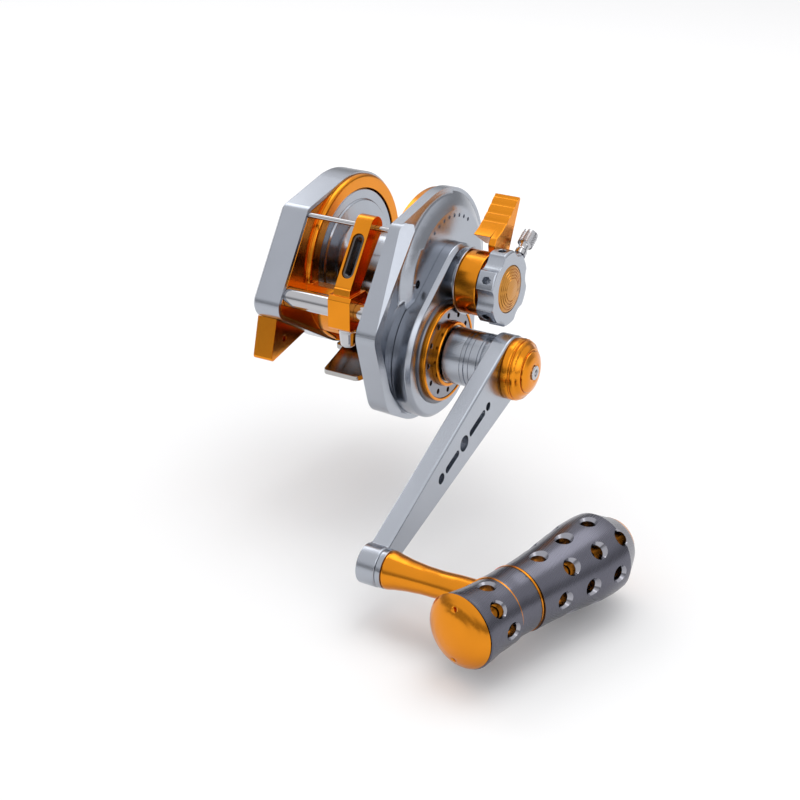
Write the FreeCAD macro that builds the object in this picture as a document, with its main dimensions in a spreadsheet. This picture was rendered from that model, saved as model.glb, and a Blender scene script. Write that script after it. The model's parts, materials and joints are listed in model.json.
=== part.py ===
import FreeCAD, Part
import math
import os
import Sketcher

V = FreeCAD.Vector
doc = FreeCAD.newDocument("jigging_reel")
sheet = doc.addObject("Spreadsheet::Sheet", "Sizes")
sheet.Label = "Sizes"
OUTPUT = []


# ---- Named sizes: each is a cell of the sheet, and sums of them stay live expressions ----

class Dim:
    """A length or count together with the sheet expression that gives it."""

    def __init__(self, value, text):
        self.value = float(value)
        self.text = text

    def joined(self, other, sign, value):
        return Dim(value, f"({self.text} {sign} {dim(other).text})")

    def __add__(self, other):
        return self.joined(other, "+", self.value + dim(other).value)

    def __sub__(self, other):
        return self.joined(other, "-", self.value - dim(other).value)

    def __mul__(self, other):
        return self.joined(other, "*", self.value * dim(other).value)

    def __truediv__(self, other):
        return self.joined(other, "/", self.value / dim(other).value)

    def __neg__(self):
        return Dim(-self.value, f"(0 - {self.text})")


def dim(number):
    if isinstance(number, Dim):
        return number
    return Dim(number, f"({float(number)})")


ROWS = []


def size(alias, value):
    """Writes one driving dimension into the sheet and returns it."""
    row = len(ROWS) + 1
    sheet.set(f"A{row}", alias)
    sheet.set(f"B{row}", str(value))
    sheet.setAlias(f"B{row}", alias)
    ROWS.append(alias)
    return Dim(value, f"Sizes.{alias}")


# Spool and the two frame rings round its flanges. X runs along the spool, and 0 is its middle.
axis_height = size("spool_axis_height", 34.0)
spool_width = size("spool_width", 33.0)
flange_radius = size("flange_radius", 27.6)
flange_thickness = size("flange_thickness", 2.2)
arbor_radius = size("arbor_radius", 13.0)
shaft_radius = size("spool_shaft_radius", 3.0)
flange_gap = size("flange_gap", 0.4)
ring_wall = size("ring_wall", 5.5)
frame_plate = size("frame_plate_thickness", 2.0)
ring_proud = size("ring_proud", 2.0)
running = size("running_clearance", 0.06)
seat = size("seat_clearance", 0.1)

# Left cover and the outline that it shares with the frame's left plate
cover_depth = size("cover_depth", 10.5)
cover_wall = size("cover_wall", 1.7)
plate_round = size("plate_round_radius", 34.3)
top_nose_y = size("top_nose_forward", 28.2)
top_nose_z = size("top_nose_height", 24.6)
top_nose_r = size("top_nose_radius", 4.5)
low_nose_y = size("low_nose_forward", 46.4)
low_nose_z = size("low_nose_drop", 5.2)
low_nose_r = size("low_nose_radius", 6.0)

# Gear side: side plate, ridge and gear housing
plate_depth = size("side_plate_depth", 5.7)
plate_wall = size("side_plate_wall", 1.7)
floor_depth = size("side_plate_floor", 2.0)
step_height = size("gear_step_height", 1.8)
bevel_depth = size("ridge_bevel_depth", 3.6)
housing_depth = size("housing_depth", 5.5)
housing_wall = size("housing_wall", 1.7)
housing_round = size("housing_round_radius", 26.2)
plate_belly = size("side_plate_belly_radius", 28.6)
hub_round = size("housing_hub_radius", 14.0)
main_y = size("handle_axis_forward", 13.9)
main_z = size("handle_axis_drop", 25.224)
gear_side_nose_y = size("gear_side_nose_forward", 48.6)
gear_side_nose_z = size("gear_side_nose_drop", 8.2)
gear_side_nose_r = size("gear_side_nose_radius", 6.8)
chin_y = size("chin_forward", 37.5)
chin_z = size("chin_drop", 32.5)
chin_r = size("chin_radius", 10.5)

# Level wind
tube_y = size("tube_forward", 45.2)
tube_z = size("tube_drop", 2.0)
tube_radius = size("tube_radius", 3.9)
tube_wall = size("tube_wall", 0.8)
worm_radius = size("worm_radius", 2.6)
rod_y = size("rod_forward", 30.3)
rod_z = size("rod_height", 26.1)
rod_radius = size("rod_radius", 1.0)
guide_x = size("guide_offset", 8.3)
guide_width = size("guide_width", 7.0)
block_width = size("guide_block_width", 9.6)
guide_lean = size("guide_lean_deg", 35.0)
slot_length = size("guide_slot_length", 15.4)
slot_width = size("guide_slot_width", 2.8)
ring_lip = size("guide_ring_lip", 1.0)

# Handle
shaft_main = size("main_shaft_radius", 5.0)
sleeve_radius = size("sleeve_radius", 11.0)
sleeve_length = size("sleeve_length", 18.4)
arm_thickness = size("arm_thickness", 6.8)
arm_length = size("arm_length", 101.7)
arm_angle = size("arm_angle_deg", 23.0)
arm_head = size("arm_head_radius", 12.4)
arm_tail = size("arm_tail_radius", 4.6)
arm_eye = size("arm_eye_radius", 7.2)
nut_radius = size("nut_radius", 11.9)
shank_length = size("shank_length", 37.0)
post_radius = size("grip_post_radius", 3.0)
grip_skew = size("grip_skew_deg", 12.9)
grip_reach = size("grip_axis_reach", 46.9)
grip_front = size("grip_front_length", 22.4)
grip_back = size("grip_back_length", 57.5)
grip_belly = size("grip_belly_radius", 14.9)
grip_waist = size("grip_waist_radius", 11.7)
grip_mouth = size("grip_mouth_radius", 13.2)
grip_bore = size("grip_bore_radius", 8.8)
grip_hole = size("grip_hole_radius", 2.1)

# Drag
hub_radius = size("lever_hub_radius", 12.5)
hub_length = size("lever_hub_length", 8.7)
lever_reach = size("lever_reach", 36.3)
knob_radius = size("knob_radius", 14.9)
knob_length = size("knob_length", 7.0)
detent_radius = size("detent_circle_radius", 24.0)

# Foot
foot_thickness = size("foot_thickness", 2.0)
foot_length = size("foot_length", 73.0)
tongue_width = size("tongue_width", 16.6)
foot_width = size("foot_base_width", 35.0)

# Gears
gear_module = size("drive_module", 0.8)
pinion_teeth = 14
main_teeth = 58
wind_module = size("wind_module", 0.5)
spool_teeth = 24
idler_teeth = 73
worm_teeth = 12

# ---- Stations along X ----
half_spool = spool_width / 2
bore_radius = flange_radius + flange_gap
ring_radius = bore_radius + ring_wall
left_in = -(half_spool + flange_thickness - 0.7)
left_out = left_in - frame_plate
cover_out = left_out - cover_depth
right_in = half_spool + flange_thickness - 0.7
right_out = right_in + frame_plate
plate_in = right_out + 0.2
plate_face = plate_in + plate_depth
housing_face = plate_face + housing_depth
hub_start = housing_face + 3.9
hub_end = hub_start + hub_length
knob_start = hub_end + 1.4
knob_end = knob_start + knob_length
sleeve_start = housing_face + 5.3
arm_start = sleeve_start + sleeve_length
arm_end = arm_start + arm_thickness

ZERO = dim(0)
SPOOL = (ZERO, axis_height)
MAIN = (-main_y, axis_height - main_z)
TUBE = (-tube_y, axis_height - tube_z)
ROD = (-rod_y, axis_height + rod_z)


# ---- Small builders ----

def bind(thing, prop, length):
    """Ties a property to the sheet, or sets it when the length is a bare number."""
    if "Sizes." in length.text:
        thing.setExpression(prop, length.text)


def new_body(label):
    body = doc.addObject("PartDesign::Body", label)
    body.Label = label
    return body


def keep(thing, label):
    """Names a finished piece and marks it for export."""
    thing.Label = label
    OUTPUT.append(thing)
    return thing


def sketch_on(body, role, name, offset=ZERO):
    plane = next(p for p in body.Origin.OriginFeatures if p.Role == role)
    sketch = body.newObject("Sketcher::SketchObject", name)
    sketch.AttachmentSupport = [(plane, "")]
    sketch.MapMode = "FlatFace"
    sketch.AttachmentOffset = FreeCAD.Placement(V(0, 0, offset.value), FreeCAD.Rotation())
    bind(sketch, "AttachmentOffset.Base.z", offset)
    return sketch


def fix_point(sketch, geometry, position, u, v):
    """Ties one point of a sketch to its two coordinates."""
    for kind, length in (("DistanceX", u), ("DistanceY", v)):
        index = sketch.addConstraint(
            Sketcher.Constraint(kind, -1, 1, geometry, position, length.value))
        bind(sketch, f"Constraints[{index}]", length)


def polygon(sketch, points):
    """A closed outline of straight edges, every corner tied to the sheet."""
    corners = [(dim(u), dim(v)) for u, v in points]
    count = len(corners)
    for i, (u, v) in enumerate(corners):
        nu, nv = corners[(i + 1) % count]
        sketch.addGeometry(Part.LineSegment(V(u.value, v.value, 0), V(nu.value, nv.value, 0)))
    for i, (u, v) in enumerate(corners):
        sketch.addConstraint(Sketcher.Constraint("Coincident", i, 2, (i + 1) % count, 1))
        fix_point(sketch, i, 1, u, v)


def belt(sketch, discs):
    """The outline of a belt pulled round discs (y, z, radius), given counter-clockwise."""
    discs = [tuple(dim(n) for n in disc) for disc in discs]
    if len(discs) == 1:
        y, z, r = discs[0]
        sketch.addGeometry(Part.Circle(V(y.value, z.value, 0), V(0, 0, 1), r.value))
        index = sketch.addConstraint(Sketcher.Constraint("Radius", 0, r.value))
        bind(sketch, f"Constraints[{index}]", r)
        fix_point(sketch, 0, 3, y, z)
        return
    count = len(discs)
    normals = []
    for i in range(count):
        (ay, az, ar), (by, bz, br) = discs[i], discs[(i + 1) % count]
        dy, dz = by.value - ay.value, bz.value - az.value
        turn = math.acos((ar.value - br.value) / math.hypot(dy, dz))
        normals.append(math.atan2(dz, dy) - turn)
    for i in range(count):
        y, z, r = discs[i]
        start, end = normals[i - 1], normals[i]
        while end < start:
            end += 2 * math.pi
        circle = Part.Circle(V(y.value, z.value, 0), V(0, 0, 1), r.value)
        sketch.addGeometry(Part.ArcOfCircle(circle, start, end))
    for i in range(count):
        ends = []
        for y, z, r in (discs[i], discs[(i + 1) % count]):
            ends.append(V(y.value + r.value * math.cos(normals[i]),
                          z.value + r.value * math.sin(normals[i]), 0))
        sketch.addGeometry(Part.LineSegment(*ends))
    for i in range(count):
        sketch.addConstraint(Sketcher.Constraint("Tangent", i, 2, count + i, 1))
        sketch.addConstraint(Sketcher.Constraint("Tangent", count + i, 2, (i + 1) % count, 1))
    for i, (y, z, r) in enumerate(discs):
        index = sketch.addConstraint(Sketcher.Constraint("Radius", i, r.value))
        bind(sketch, f"Constraints[{index}]", r)
        fix_point(sketch, i, 3, y, z)


def feature(body, kind, name, sketch, length, reverse=False):
    made = body.newObject(kind, name)
    made.Profile = sketch
    made.Length = length.value
    bind(made, "Length", length)
    made.Reversed = reverse
    sketch.Visibility = False
    body.Tip = made
    return made


def pad(body, name, start, end, discs):
    """Adds a belt-shaped slab between two stations along X."""
    sketch = sketch_on(body, "YZ_Plane", name + "_outline", start)
    belt(sketch, discs)
    return feature(body, "PartDesign::Pad", name, sketch, end - start)


def cut(body, name, start, end, discs):
    """Removes a belt-shaped slab between two stations, and checks that it removed something."""
    doc.recompute()
    before = body.Shape.Volume
    sketch = sketch_on(body, "YZ_Plane", name + "_outline", start)
    belt(sketch, discs)
    made = feature(body, "PartDesign::Pocket", name, sketch, end - start, reverse=True)
    doc.recompute()
    if body.Shape.Volume > before - 0.01:
        raise RuntimeError(f"{body.Label}: {name} removes nothing")
    return made


def slab(body, name, start, end, points):
    """Adds a straight-edged slab between two stations along X."""
    sketch = sketch_on(body, "YZ_Plane", name + "_outline", start)
    polygon(sketch, points)
    return feature(body, "PartDesign::Pad", name, sketch, end - start)


def turn(body, name, points, kind="PartDesign::Revolution"):
    """Turns a profile of (x, radius) corners about the body's own X axis."""
    sketch = sketch_on(body, "XY_Plane", name + "_profile")
    polygon(sketch, points)
    made = body.newObject(kind, name)
    made.Profile = sketch
    made.ReferenceAxis = (sketch, ["H_Axis"])
    made.Angle = 360
    sketch.Visibility = False
    body.Tip = made
    return made


def place(thing, axis):
    """Moves a piece turned about X onto an axis at (y, z)."""
    y, z = axis
    thing.Placement.Base = V(0, y.value, z.value)
    bind(thing, ".Placement.Base.y", y)
    bind(thing, ".Placement.Base.z", z)
    return thing


def turned(label, axis, points):
    body = new_body(label)
    turn(body, label + "_turned", points)
    return keep(place(body, axis), label)


def ring(label, axis, start, end, inner, outer):
    """A plain ring or bush between two stations."""
    return turned(label, axis, [(start, inner), (end, inner), (end, outer), (start, outer)])


def circle_edges(shape, radius, station, axis=None):
    """Names of the full-circle edges of one radius in the plane X = station."""
    found = []
    for i, edge in enumerate(shape.Edges, 1):
        curve = edge.Curve
        if not isinstance(curve, Part.Circle) or abs(curve.Radius - radius) > 0.01:
            continue
        if abs(curve.Center.x - station) < 0.01 and abs(abs(curve.Axis.x) - 1) < 0.01:
            if axis is None or (abs(curve.Center.y - axis[0]) < 0.01
                                and abs(curve.Center.z - axis[1]) < 0.01):
                found.append(f"Edge{i}")
    return found


def dress(body, kind, name, radius, edges):
    """Fillets or chamfers the named edges of the body's tip."""
    if not edges:
        raise RuntimeError(f"{body.Label}: {name} found no edge")
    base = body.Tip
    made = body.newObject(kind, name)
    made.Base = (base, edges)
    if kind.endswith("Fillet"):
        made.Radius = radius
    else:
        made.Size = radius
    body.Tip = made
    doc.recompute()
    return made


def outline_edges(shape, station):
    """Names of all edges that lie wholly in the plane X = station."""
    found = []
    for i, edge in enumerate(shape.Edges, 1):
        box = edge.BoundBox
        if abs(box.XMin - station) < 0.01 and abs(box.XMax - station) < 0.01:
            found.append(f"Edge{i}")
    return found


def cylinder(name, radius, start, end, axis, along="X"):
    """A Part cylinder along X between two stations, or along Z from a height."""
    solid = doc.addObject("Part::Cylinder", name)
    solid.Radius = radius.value
    bind(solid, "Radius", radius)
    length = end - start
    solid.Height = length.value
    bind(solid, "Height", length)
    if along == "X":
        solid.Placement = FreeCAD.Placement(
            V(start.value, axis[0].value, axis[1].value), FreeCAD.Rotation(V(0, 1, 0), 90))
        places = (start, axis[0], axis[1])
    else:
        solid.Placement = FreeCAD.Placement(
            V(axis[0].value, axis[1].value, start.value), FreeCAD.Rotation())
        places = (axis[0], axis[1], start)
    for letter, length in zip("xyz", places):
        bind(solid, ".Placement.Base." + letter, length)
    return solid


def boolean(kind, name, base, tools):
    made = doc.addObject("Part::" + kind, name)
    if kind == "Cut":
        made.Base = base
        made.Tool = tools[0] if len(tools) == 1 else boolean("MultiFuse", name + "_tools", None, tools)
    else:
        made.Shapes = ([base] if base else []) + list(tools)
    return made


def group(label, shapes):
    """Identical fasteners or bearings kept as one node of separate solids."""
    node = doc.addObject("Part::Feature", label)
    node.Shape = Part.makeCompound(shapes)
    return keep(node, label)


def at(*spots):
    """Numbers of dimensions, for shapes made by formula."""
    return [dim(s).value for s in spots]


# ---- Frame, cover and foot ----

def left_outline(inset=ZERO):
    return [(-top_nose_y, axis_height + top_nose_z, top_nose_r - inset),
            (-low_nose_y, axis_height - low_nose_z, low_nose_r - inset),
            (ZERO, axis_height, plate_round - inset)]


def right_outline(inset=ZERO, crown=plate_round):
    return [(-top_nose_y, axis_height + top_nose_z, top_nose_r - inset),
            (-gear_side_nose_y, axis_height - gear_side_nose_z, gear_side_nose_r - inset),
            (-chin_y, axis_height - chin_z, chin_r - inset),
            (-main_y, axis_height - main_z, plate_belly - inset),
            (ZERO, axis_height, crown - inset)]


def sector(body, name, first_deg, last_deg, inner, outer):
    """A cross bar that follows the spool between two angles from +Y, right across the frame."""
    sketch = sketch_on(body, "YZ_Plane", name + "_outline", left_in)
    first, last = math.radians(first_deg), math.radians(last_deg)
    centre = V(0, axis_height.value, 0)

    def spot(radius, angle):
        return V(radius * math.cos(angle), axis_height.value + radius * math.sin(angle), 0)

    low, high = inner.value, outer.value
    for radius in (low, high):
        sketch.addGeometry(Part.ArcOfCircle(Part.Circle(centre, V(0, 0, 1), radius), first, last))
    sketch.addGeometry(Part.LineSegment(spot(low, first), spot(high, first)))
    sketch.addGeometry(Part.LineSegment(spot(low, last), spot(high, last)))
    for a, pa, b, pb in ((0, 1, 2, 1), (1, 1, 2, 2), (0, 2, 3, 1), (1, 2, 3, 2)):
        sketch.addConstraint(Sketcher.Constraint("Coincident", a, pa, b, pb))
    for index, radius in ((0, inner), (1, outer)):
        sketch.addConstraint(Sketcher.Constraint("Radius", index, radius.value))
        bind(sketch, f"Constraints[{sketch.ConstraintCount - 1}]", radius)
        fix_point(sketch, index, 3, ZERO, axis_height)
    return feature(body, "PartDesign::Pad", name, sketch, right_in - left_in)


def make_frame():
    """The one-piece frame: two plates with rings, joined by front, lower and rear bars."""
    body = new_body("frame")
    inset = cover_wall + seat
    pad(body, "left_plate", left_out, left_in, left_outline(inset))
    pad(body, "left_ring", left_in, left_in + ring_proud, [(ZERO, axis_height, ring_radius)])
    pad(body, "right_plate", right_in, right_out, right_outline(inset))
    pad(body, "right_ring", right_in - ring_proud * 1.5, right_in,
        [(ZERO, axis_height, ring_radius)])
    bar_inner = bore_radius + 0.8
    sector(body, "front_bar", 181, 222, bar_inner, ring_radius)
    sector(body, "lower_bar", 244, 292, bar_inner, ring_radius)
    sector(body, "rear_bar", 312, 338, bar_inner, ring_radius)
    cut(body, "spool_bore", left_out - 1, right_out + 1, [(ZERO, axis_height, bore_radius)])
    foot_seat = axis_height - 80
    cut_flat = sketch_on(body, "YZ_Plane", "foot_flat_outline", left_out - 1)
    polygon(cut_flat, [(-foot_length / 2, foot_seat), (foot_length / 2, foot_seat),
                       (foot_length / 2, foot_thickness), (-foot_length / 2, foot_thickness)])
    feature(body, "PartDesign::Pocket", "foot_flat", cut_flat, right_in - left_out + 1, reverse=True)
    for name, (y, z), radius in (("rod", ROD, rod_radius), ("tube", TUBE, tube_radius)):
        cut(body, name + "_holes", left_out - 1, right_out + 1, [(y, z, radius + running)])
    doc.recompute()
    shape = body.Tip.Shape
    rims = circle_edges(shape, ring_radius.value, (left_in + ring_proud).value)
    dress(body, "PartDesign::Fillet", "left_lip", 1.6, rims)
    return keep(body, "frame")


def make_left_cover():
    """The deep shell on the left, with bosses for the shaft and worm bearings."""
    body = new_body("left_cover")
    pad(body, "shell", cover_out, left_in, left_outline())
    doc.recompute()
    dress(body, "PartDesign::Chamfer", "outer_edge", 1.5,
          outline_edges(body.Tip.Shape, cover_out.value))
    cut(body, "hollow", cover_out + cover_wall, left_in + 1, left_outline(cover_wall))
    cut(body, "rod_end_room", left_out, left_in + 1, [(*ROD, rod_radius + running)])
    cut(body, "tube_end_room", left_out, left_in + 1, [(*TUBE, tube_radius + running)])
    floor = cover_out + cover_wall - 0.2
    pad(body, "shaft_boss", floor, floor + 3.6, [(ZERO, axis_height, shaft_radius + 5.4)])
    cut(body, "shaft_seat", floor, floor + 5,
        [(ZERO, axis_height, shaft_radius + 3.5 + seat)])
    pad(body, "worm_boss", floor, floor + 1.4, [(*TUBE, worm_radius + 1.2)])
    cut(body, "worm_seat", floor + 0.3, floor + 5, [(*TUBE, dim(1.5) + running)])
    idler_axis = idler_position()
    pad(body, "idler_boss", floor, floor + 1.4, [(*idler_axis, dim(3.2))])
    return keep(body, "left_cover")


def idler_position():
    """Where the idler meshes with both the spool gear and the worm gear."""
    near = wind_module.value * (spool_teeth + idler_teeth) / 2 + 0.05
    far = wind_module.value * (worm_teeth + idler_teeth) / 2 + 0.05
    dy, dz = -tube_y.value, -tube_z.value
    span = math.hypot(dy, dz)
    along = (near ** 2 - far ** 2 + span ** 2) / (2 * span)
    aside = math.sqrt(near ** 2 - along ** 2)
    y = along * dy / span + aside * dz / span
    z = along * dz / span - aside * dy / span
    return dim(y), axis_height + z


def make_fin():
    """The triangular leg under the left cover's front, with its lanyard hole."""
    body = new_body("stand_fin")
    start, end = cover_out + 1, left_out - 1
    tip_y, tip_z = low_nose_y + 6.2, axis_height - low_nose_z - 20.2
    pad(body, "leg", start, end,
        [(-low_nose_y - 2.2, axis_height - low_nose_z - 5, 1.2), (-tip_y, tip_z, 1.2),
         (-low_nose_y + 16.5, axis_height - low_nose_z - 15.6, 1.0)])
    cut(body, "cover_seat", start - 1, end + 1, left_outline(-seat))
    cut(body, "lanyard_hole", start - 1, end + 1,
        [(-low_nose_y + 1.6, axis_height - low_nose_z - 14.6, 1.2)])
    return keep(body, "stand_fin")


def make_foot():
    """The clamp foot: a tapered tongue in front and behind, and a wide middle for its screws."""
    body = new_body("reel_foot")
    half = foot_length / 2
    shift = dim(-2.0)

    def plate(name, discs):
        sketch = sketch_on(body, "XY_Plane", name + "_outline")
        belt(sketch, discs)
        return feature(body, "PartDesign::Pad", name, sketch, foot_thickness)

    corner = dim(2.4)
    wide = foot_width / 2 - 2
    plate("middle", [(-wide, shift - 11, 2.0), (wide, shift - 11, 2.0),
                     (wide, shift + 11, 2.0), (-wide, shift + 11, 2.0)])
    tip = tongue_width / 2 - corner
    root = foot_width / 2 - 6
    plate("front_tongue", [(-tip, shift - half + corner, corner), (tip, shift - half + corner, corner),
                           (root, shift - 10, 3.0), (-root, shift - 10, 3.0)])
    plate("rear_tongue", [(-root, shift + 10, 3.0), (root, shift + 10, 3.0),
                          (tip, shift + half - corner, corner), (-tip, shift + half - corner, corner)])
    doc.recompute()
    for x in foot_screw_places():
        hole = sketch_on(body, "XY_Plane", f"screw_hole_{len(body.Group)}")
        belt(hole, [(x, ZERO, 1.6)])
        feature(body, "PartDesign::Pocket", f"screw_way_{len(body.Group)}", hole,
                foot_thickness, reverse=True)
    doc.recompute()
    return keep(body, "reel_foot")


def foot_screw_places():
    return (-spool_width / 4, spool_width / 4)


def make_foot_screws():
    shapes = []
    thickness, = at(foot_thickness)
    for place_x in foot_screw_places():
        x = place_x.value
        stem = Part.makeCylinder(1.5, thickness - 0.2, V(x, 0, 0.2))
        shapes.append(stem)
    return group("foot_screws", shapes)


# ---- Level wind ----

def make_rod_and_tube():
    rod = cylinder("guide_rod", rod_radius, left_out + 0.2, right_out - 0.2, ROD)
    keep(rod, "guide_rod")
    body = new_body("worm_tube")
    pad(body, "tube", left_out + 0.2, right_out - 0.2, [(*TUBE, tube_radius)])
    cut(body, "tube_bore", left_out - 1, right_out + 1, [(*TUBE, tube_radius - tube_wall)])
    y, z = TUBE
    sketch = sketch_on(body, "XY_Plane", "pawl_slot_outline", z - tube_radius - 1)
    polygon(sketch, [(-half_spool + 1, y - 1.6), (half_spool - 1, y - 1.6),
                     (half_spool - 1, y + 1.6), (-half_spool + 1, y + 1.6)])
    feature(body, "PartDesign::Pocket", "pawl_slot", sketch, tube_radius, reverse=True)
    keep(body, "worm_tube")


def make_worm():
    """The level-wind shaft: its cross grooves are a row of turned grooves."""
    start, end = cover_out + cover_wall + 0.4, right_out - 0.4
    journal = cover_out + cover_wall + 1.6
    points = [(start, ZERO), (end, ZERO), (end, worm_radius)]
    pitch, count = 2.2, 12
    for i in range(count):
        x = pitch * (count / 2 - i - 0.5)
        points += [(dim(x + 0.45), worm_radius), (dim(x + 0.3), worm_radius - 0.5),
                   (dim(x - 0.3), worm_radius - 0.5), (dim(x - 0.45), worm_radius)]
    neck = left_out - 0.4
    points += [(neck, worm_radius), (neck, dim(1.5)), (journal, dim(1.5)), (start, dim(1.5))]
    body = new_body("worm_shaft")
    turn(body, "worm_turned", points)
    return keep(place(body, TUBE), "worm_shaft")


def slot_tool(name, width, length, depth_from, depth_to, centre):
    """A rounded slot through the leaning guide, from one depth to another."""
    lean = FreeCAD.Rotation(V(1, 0, 0), -guide_lean.value)
    radius = dim(width) / 2
    half = dim(length) / 2 - radius
    start, end = dim(depth_from), dim(depth_to)
    solids = []
    box = doc.addObject("Part::Box", name + "_middle")
    for prop, amount in (("Length", radius * 2), ("Width", end - start), ("Height", half * 2)):
        setattr(box, prop, amount.value)
        bind(box, prop, amount)
    box.Placement = FreeCAD.Placement(V(-radius.value, start.value, -half.value), FreeCAD.Rotation())
    solids.append(box)
    for side, z in (("top", half.value), ("bottom", -half.value)):
        end_round = doc.addObject("Part::Cylinder", f"{name}_{side}")
        end_round.Radius = radius.value
        bind(end_round, "Radius", radius)
        end_round.Height = (end - start).value
        end_round.Placement = FreeCAD.Placement(
            V(0, start.value, z), FreeCAD.Rotation(V(1, 0, 0), -90))
        solids.append(end_round)
    tool = boolean("MultiFuse", name, None, solids)
    tool.Placement = FreeCAD.Placement(centre, lean)
    return tool


def slot_centre():
    """Middle of the guide's slot, on the centre plane of its arm."""
    lean = math.radians(guide_lean.value)
    back = slot_length.value / 2 + 5.3
    y, z = -rod_y.value - back * math.sin(lean), axis_height.value + rod_z.value - back * math.cos(lean)
    return V(guide_x.value, y, z)


def make_line_guide():
    body = new_body("guide_casting")
    half, wide = guide_width / 2, block_width / 2
    neck_y, neck_z = TUBE[0] - 0.3, TUBE[1] + 8.5
    pad(body, "arm", guide_x - half, guide_x + half,
        [(ROD[0], ROD[1], 4.4), (neck_y, neck_z, 3.2)])
    y, z = TUBE
    grip = tube_radius + 2.5
    slab(body, "block", guide_x - wide, guide_x + wide,
         [(y - grip + 1, z - grip), (y + grip, z - grip), (y + grip, z + grip - 1),
          (y + grip - 1.5, z + grip + 0.6), (y - grip + 1, z + grip + 0.6),
          (y - grip, z + grip - 1), (y - grip, z - grip + 1)])
    slab(body, "neck", guide_x - half, guide_x + half,
         [(y - 4.6, z + grip), (y + 3.6, z + grip), (y + 3.6, z + grip + 3), (y - 4.0, z + grip + 3)])
    cut(body, "tube_way", guide_x - 20, guide_x + 20, [(y, z, tube_radius + running)])
    cut(body, "rod_way", guide_x - 20, guide_x + 20, [(*ROD, rod_radius + running)])
    pawl = sketch_on(body, "XY_Plane", "pawl_way_outline", z - grip - 1)
    belt(pawl, [(guide_x, y, 1.5 + 0.06)])
    feature(body, "PartDesign::Pocket", "pawl_way", pawl, grip, reverse=True)
    doc.recompute()
    outer_w, outer_l = slot_width + ring_lip * 2, slot_length + ring_lip * 2
    seat_tool = slot_tool("guide_slot", outer_w + 0.04, outer_l + 0.04, -12, 12, slot_centre())
    keep(boolean("Cut", "line_guide", body, [seat_tool]), "line_guide")
    shell = slot_tool("guide_ring_shell", outer_w, outer_l, -3.7, 3.2, slot_centre())
    way = slot_tool("guide_ring_way", slot_width, slot_length, -6, 6, slot_centre())
    keep(boolean("Cut", "guide_ring", shell, [way]), "guide_ring")


def make_pawl():
    """The pawl under the worm, and the tapered cap that holds it in."""
    y, z = TUBE
    bottom = z - tube_radius - 2.5
    pin = cylinder("pawl", dim(1.5), bottom + 0.1, z - worm_radius - 0.15, (guide_x, y), along="Z")
    keep(pin, "pawl")
    body = new_body("pawl_cap")
    sketch = sketch_on(body, "XZ_Plane", "cap_profile")
    drop = bottom - 0.1
    polygon(sketch, [(ZERO, drop - 7.8), (dim(2.3), drop - 7.8), (dim(2.8), drop - 7.2),
                     (dim(3.5), drop - 1.4), (dim(3.9), drop - 1.2), (dim(3.9), drop), (ZERO, drop)])
    made = body.newObject("PartDesign::Revolution", "cap_turned")
    made.Profile = sketch
    made.ReferenceAxis = (sketch, ["V_Axis"])
    made.Angle = 360
    body.Tip = made
    body.Placement.Base = V(guide_x.value, y.value, 0)
    bind(body, ".Placement.Base.x", guide_x)
    bind(body, ".Placement.Base.y", y)
    keep(body, "pawl_cap")


# ---- Gears ----

def gear(label, teeth, module, start, end, bore, axis, phase):
    """A spur gear with straight-flanked stub teeth, one tooth centred at the phase angle."""
    pitch_radius = module.value * teeth / 2
    tip, root = pitch_radius + 0.62 * module.value, pitch_radius - 0.95 * module.value
    half_tooth = math.pi * module.value / 4 - 0.05 * module.value
    slope = math.tan(math.radians(22))
    points = []
    for i in range(teeth):
        centre = phase + 2 * math.pi * i / teeth
        for radius, side in ((root, -1), (tip, -1), (tip, 1), (root, 1)):
            half = half_tooth - (radius - pitch_radius) * slope
            angle = centre + side * half / radius
            points.append(V(start.value, radius * math.cos(angle), radius * math.sin(angle)))
    points.append(points[0])
    thick = end.value - start.value
    blank = Part.Face(Part.makePolygon(points)).extrude(V(thick, 0, 0))
    hole = Part.makeCylinder(bore.value, thick + 2, V(start.value - 1, 0, 0), V(1, 0, 0))
    node = doc.addObject("Part::Feature", label)
    node.Shape = blank.cut(hole)
    node.Placement = FreeCAD.Placement(V(0, axis[0].value, axis[1].value), FreeCAD.Rotation())
    return keep(node, label)


def meshed(phase, teeth, direction, mate_teeth):
    """Phase of the mate whose gap meets a tooth of the first gear across the centre line."""
    offset = (phase - direction) * teeth / (2 * math.pi)
    return direction + math.pi + (0.5 - offset) * 2 * math.pi / mate_teeth


def heading(start, end):
    return math.atan2(end[1].value - start[1].value, end[0].value - start[0].value)


def make_gears():
    toward_main = heading(SPOOL, MAIN)
    gear("pinion", pinion_teeth, gear_module, plate_in + 3.6, housing_face - housing_wall - 0.8,
         shaft_radius + running, SPOOL, toward_main)
    gear("main_gear", main_teeth, gear_module, plate_face - 0.1, housing_face - housing_wall - 0.7,
         shaft_main + 0.02, MAIN, meshed(toward_main, pinion_teeth, toward_main, main_teeth))
    idler = idler_position()
    start, end = cover_out + cover_wall + 1.6, left_out - 2.2
    toward_idler = heading(SPOOL, idler)
    gear("spool_gear", spool_teeth, wind_module, start + 2.2, end, shaft_radius + 0.1, SPOOL, toward_idler)
    phase = meshed(toward_idler, spool_teeth, toward_idler, idler_teeth)
    gear("idler_gear", idler_teeth, wind_module, start + 2.4, end - 0.2, dim(1.5) + running, idler, phase)
    toward_worm = heading(idler, TUBE)
    gear("worm_gear", worm_teeth, wind_module, start + 0.4, end, dim(1.52),
         TUBE, meshed(phase, idler_teeth, toward_worm, worm_teeth))
    keep(cylinder("idler_pin", dim(1.5), cover_out + cover_wall + 1.3, end + 0.2, idler), "idler_pin")


# ---- Spool and drag ----

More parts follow.
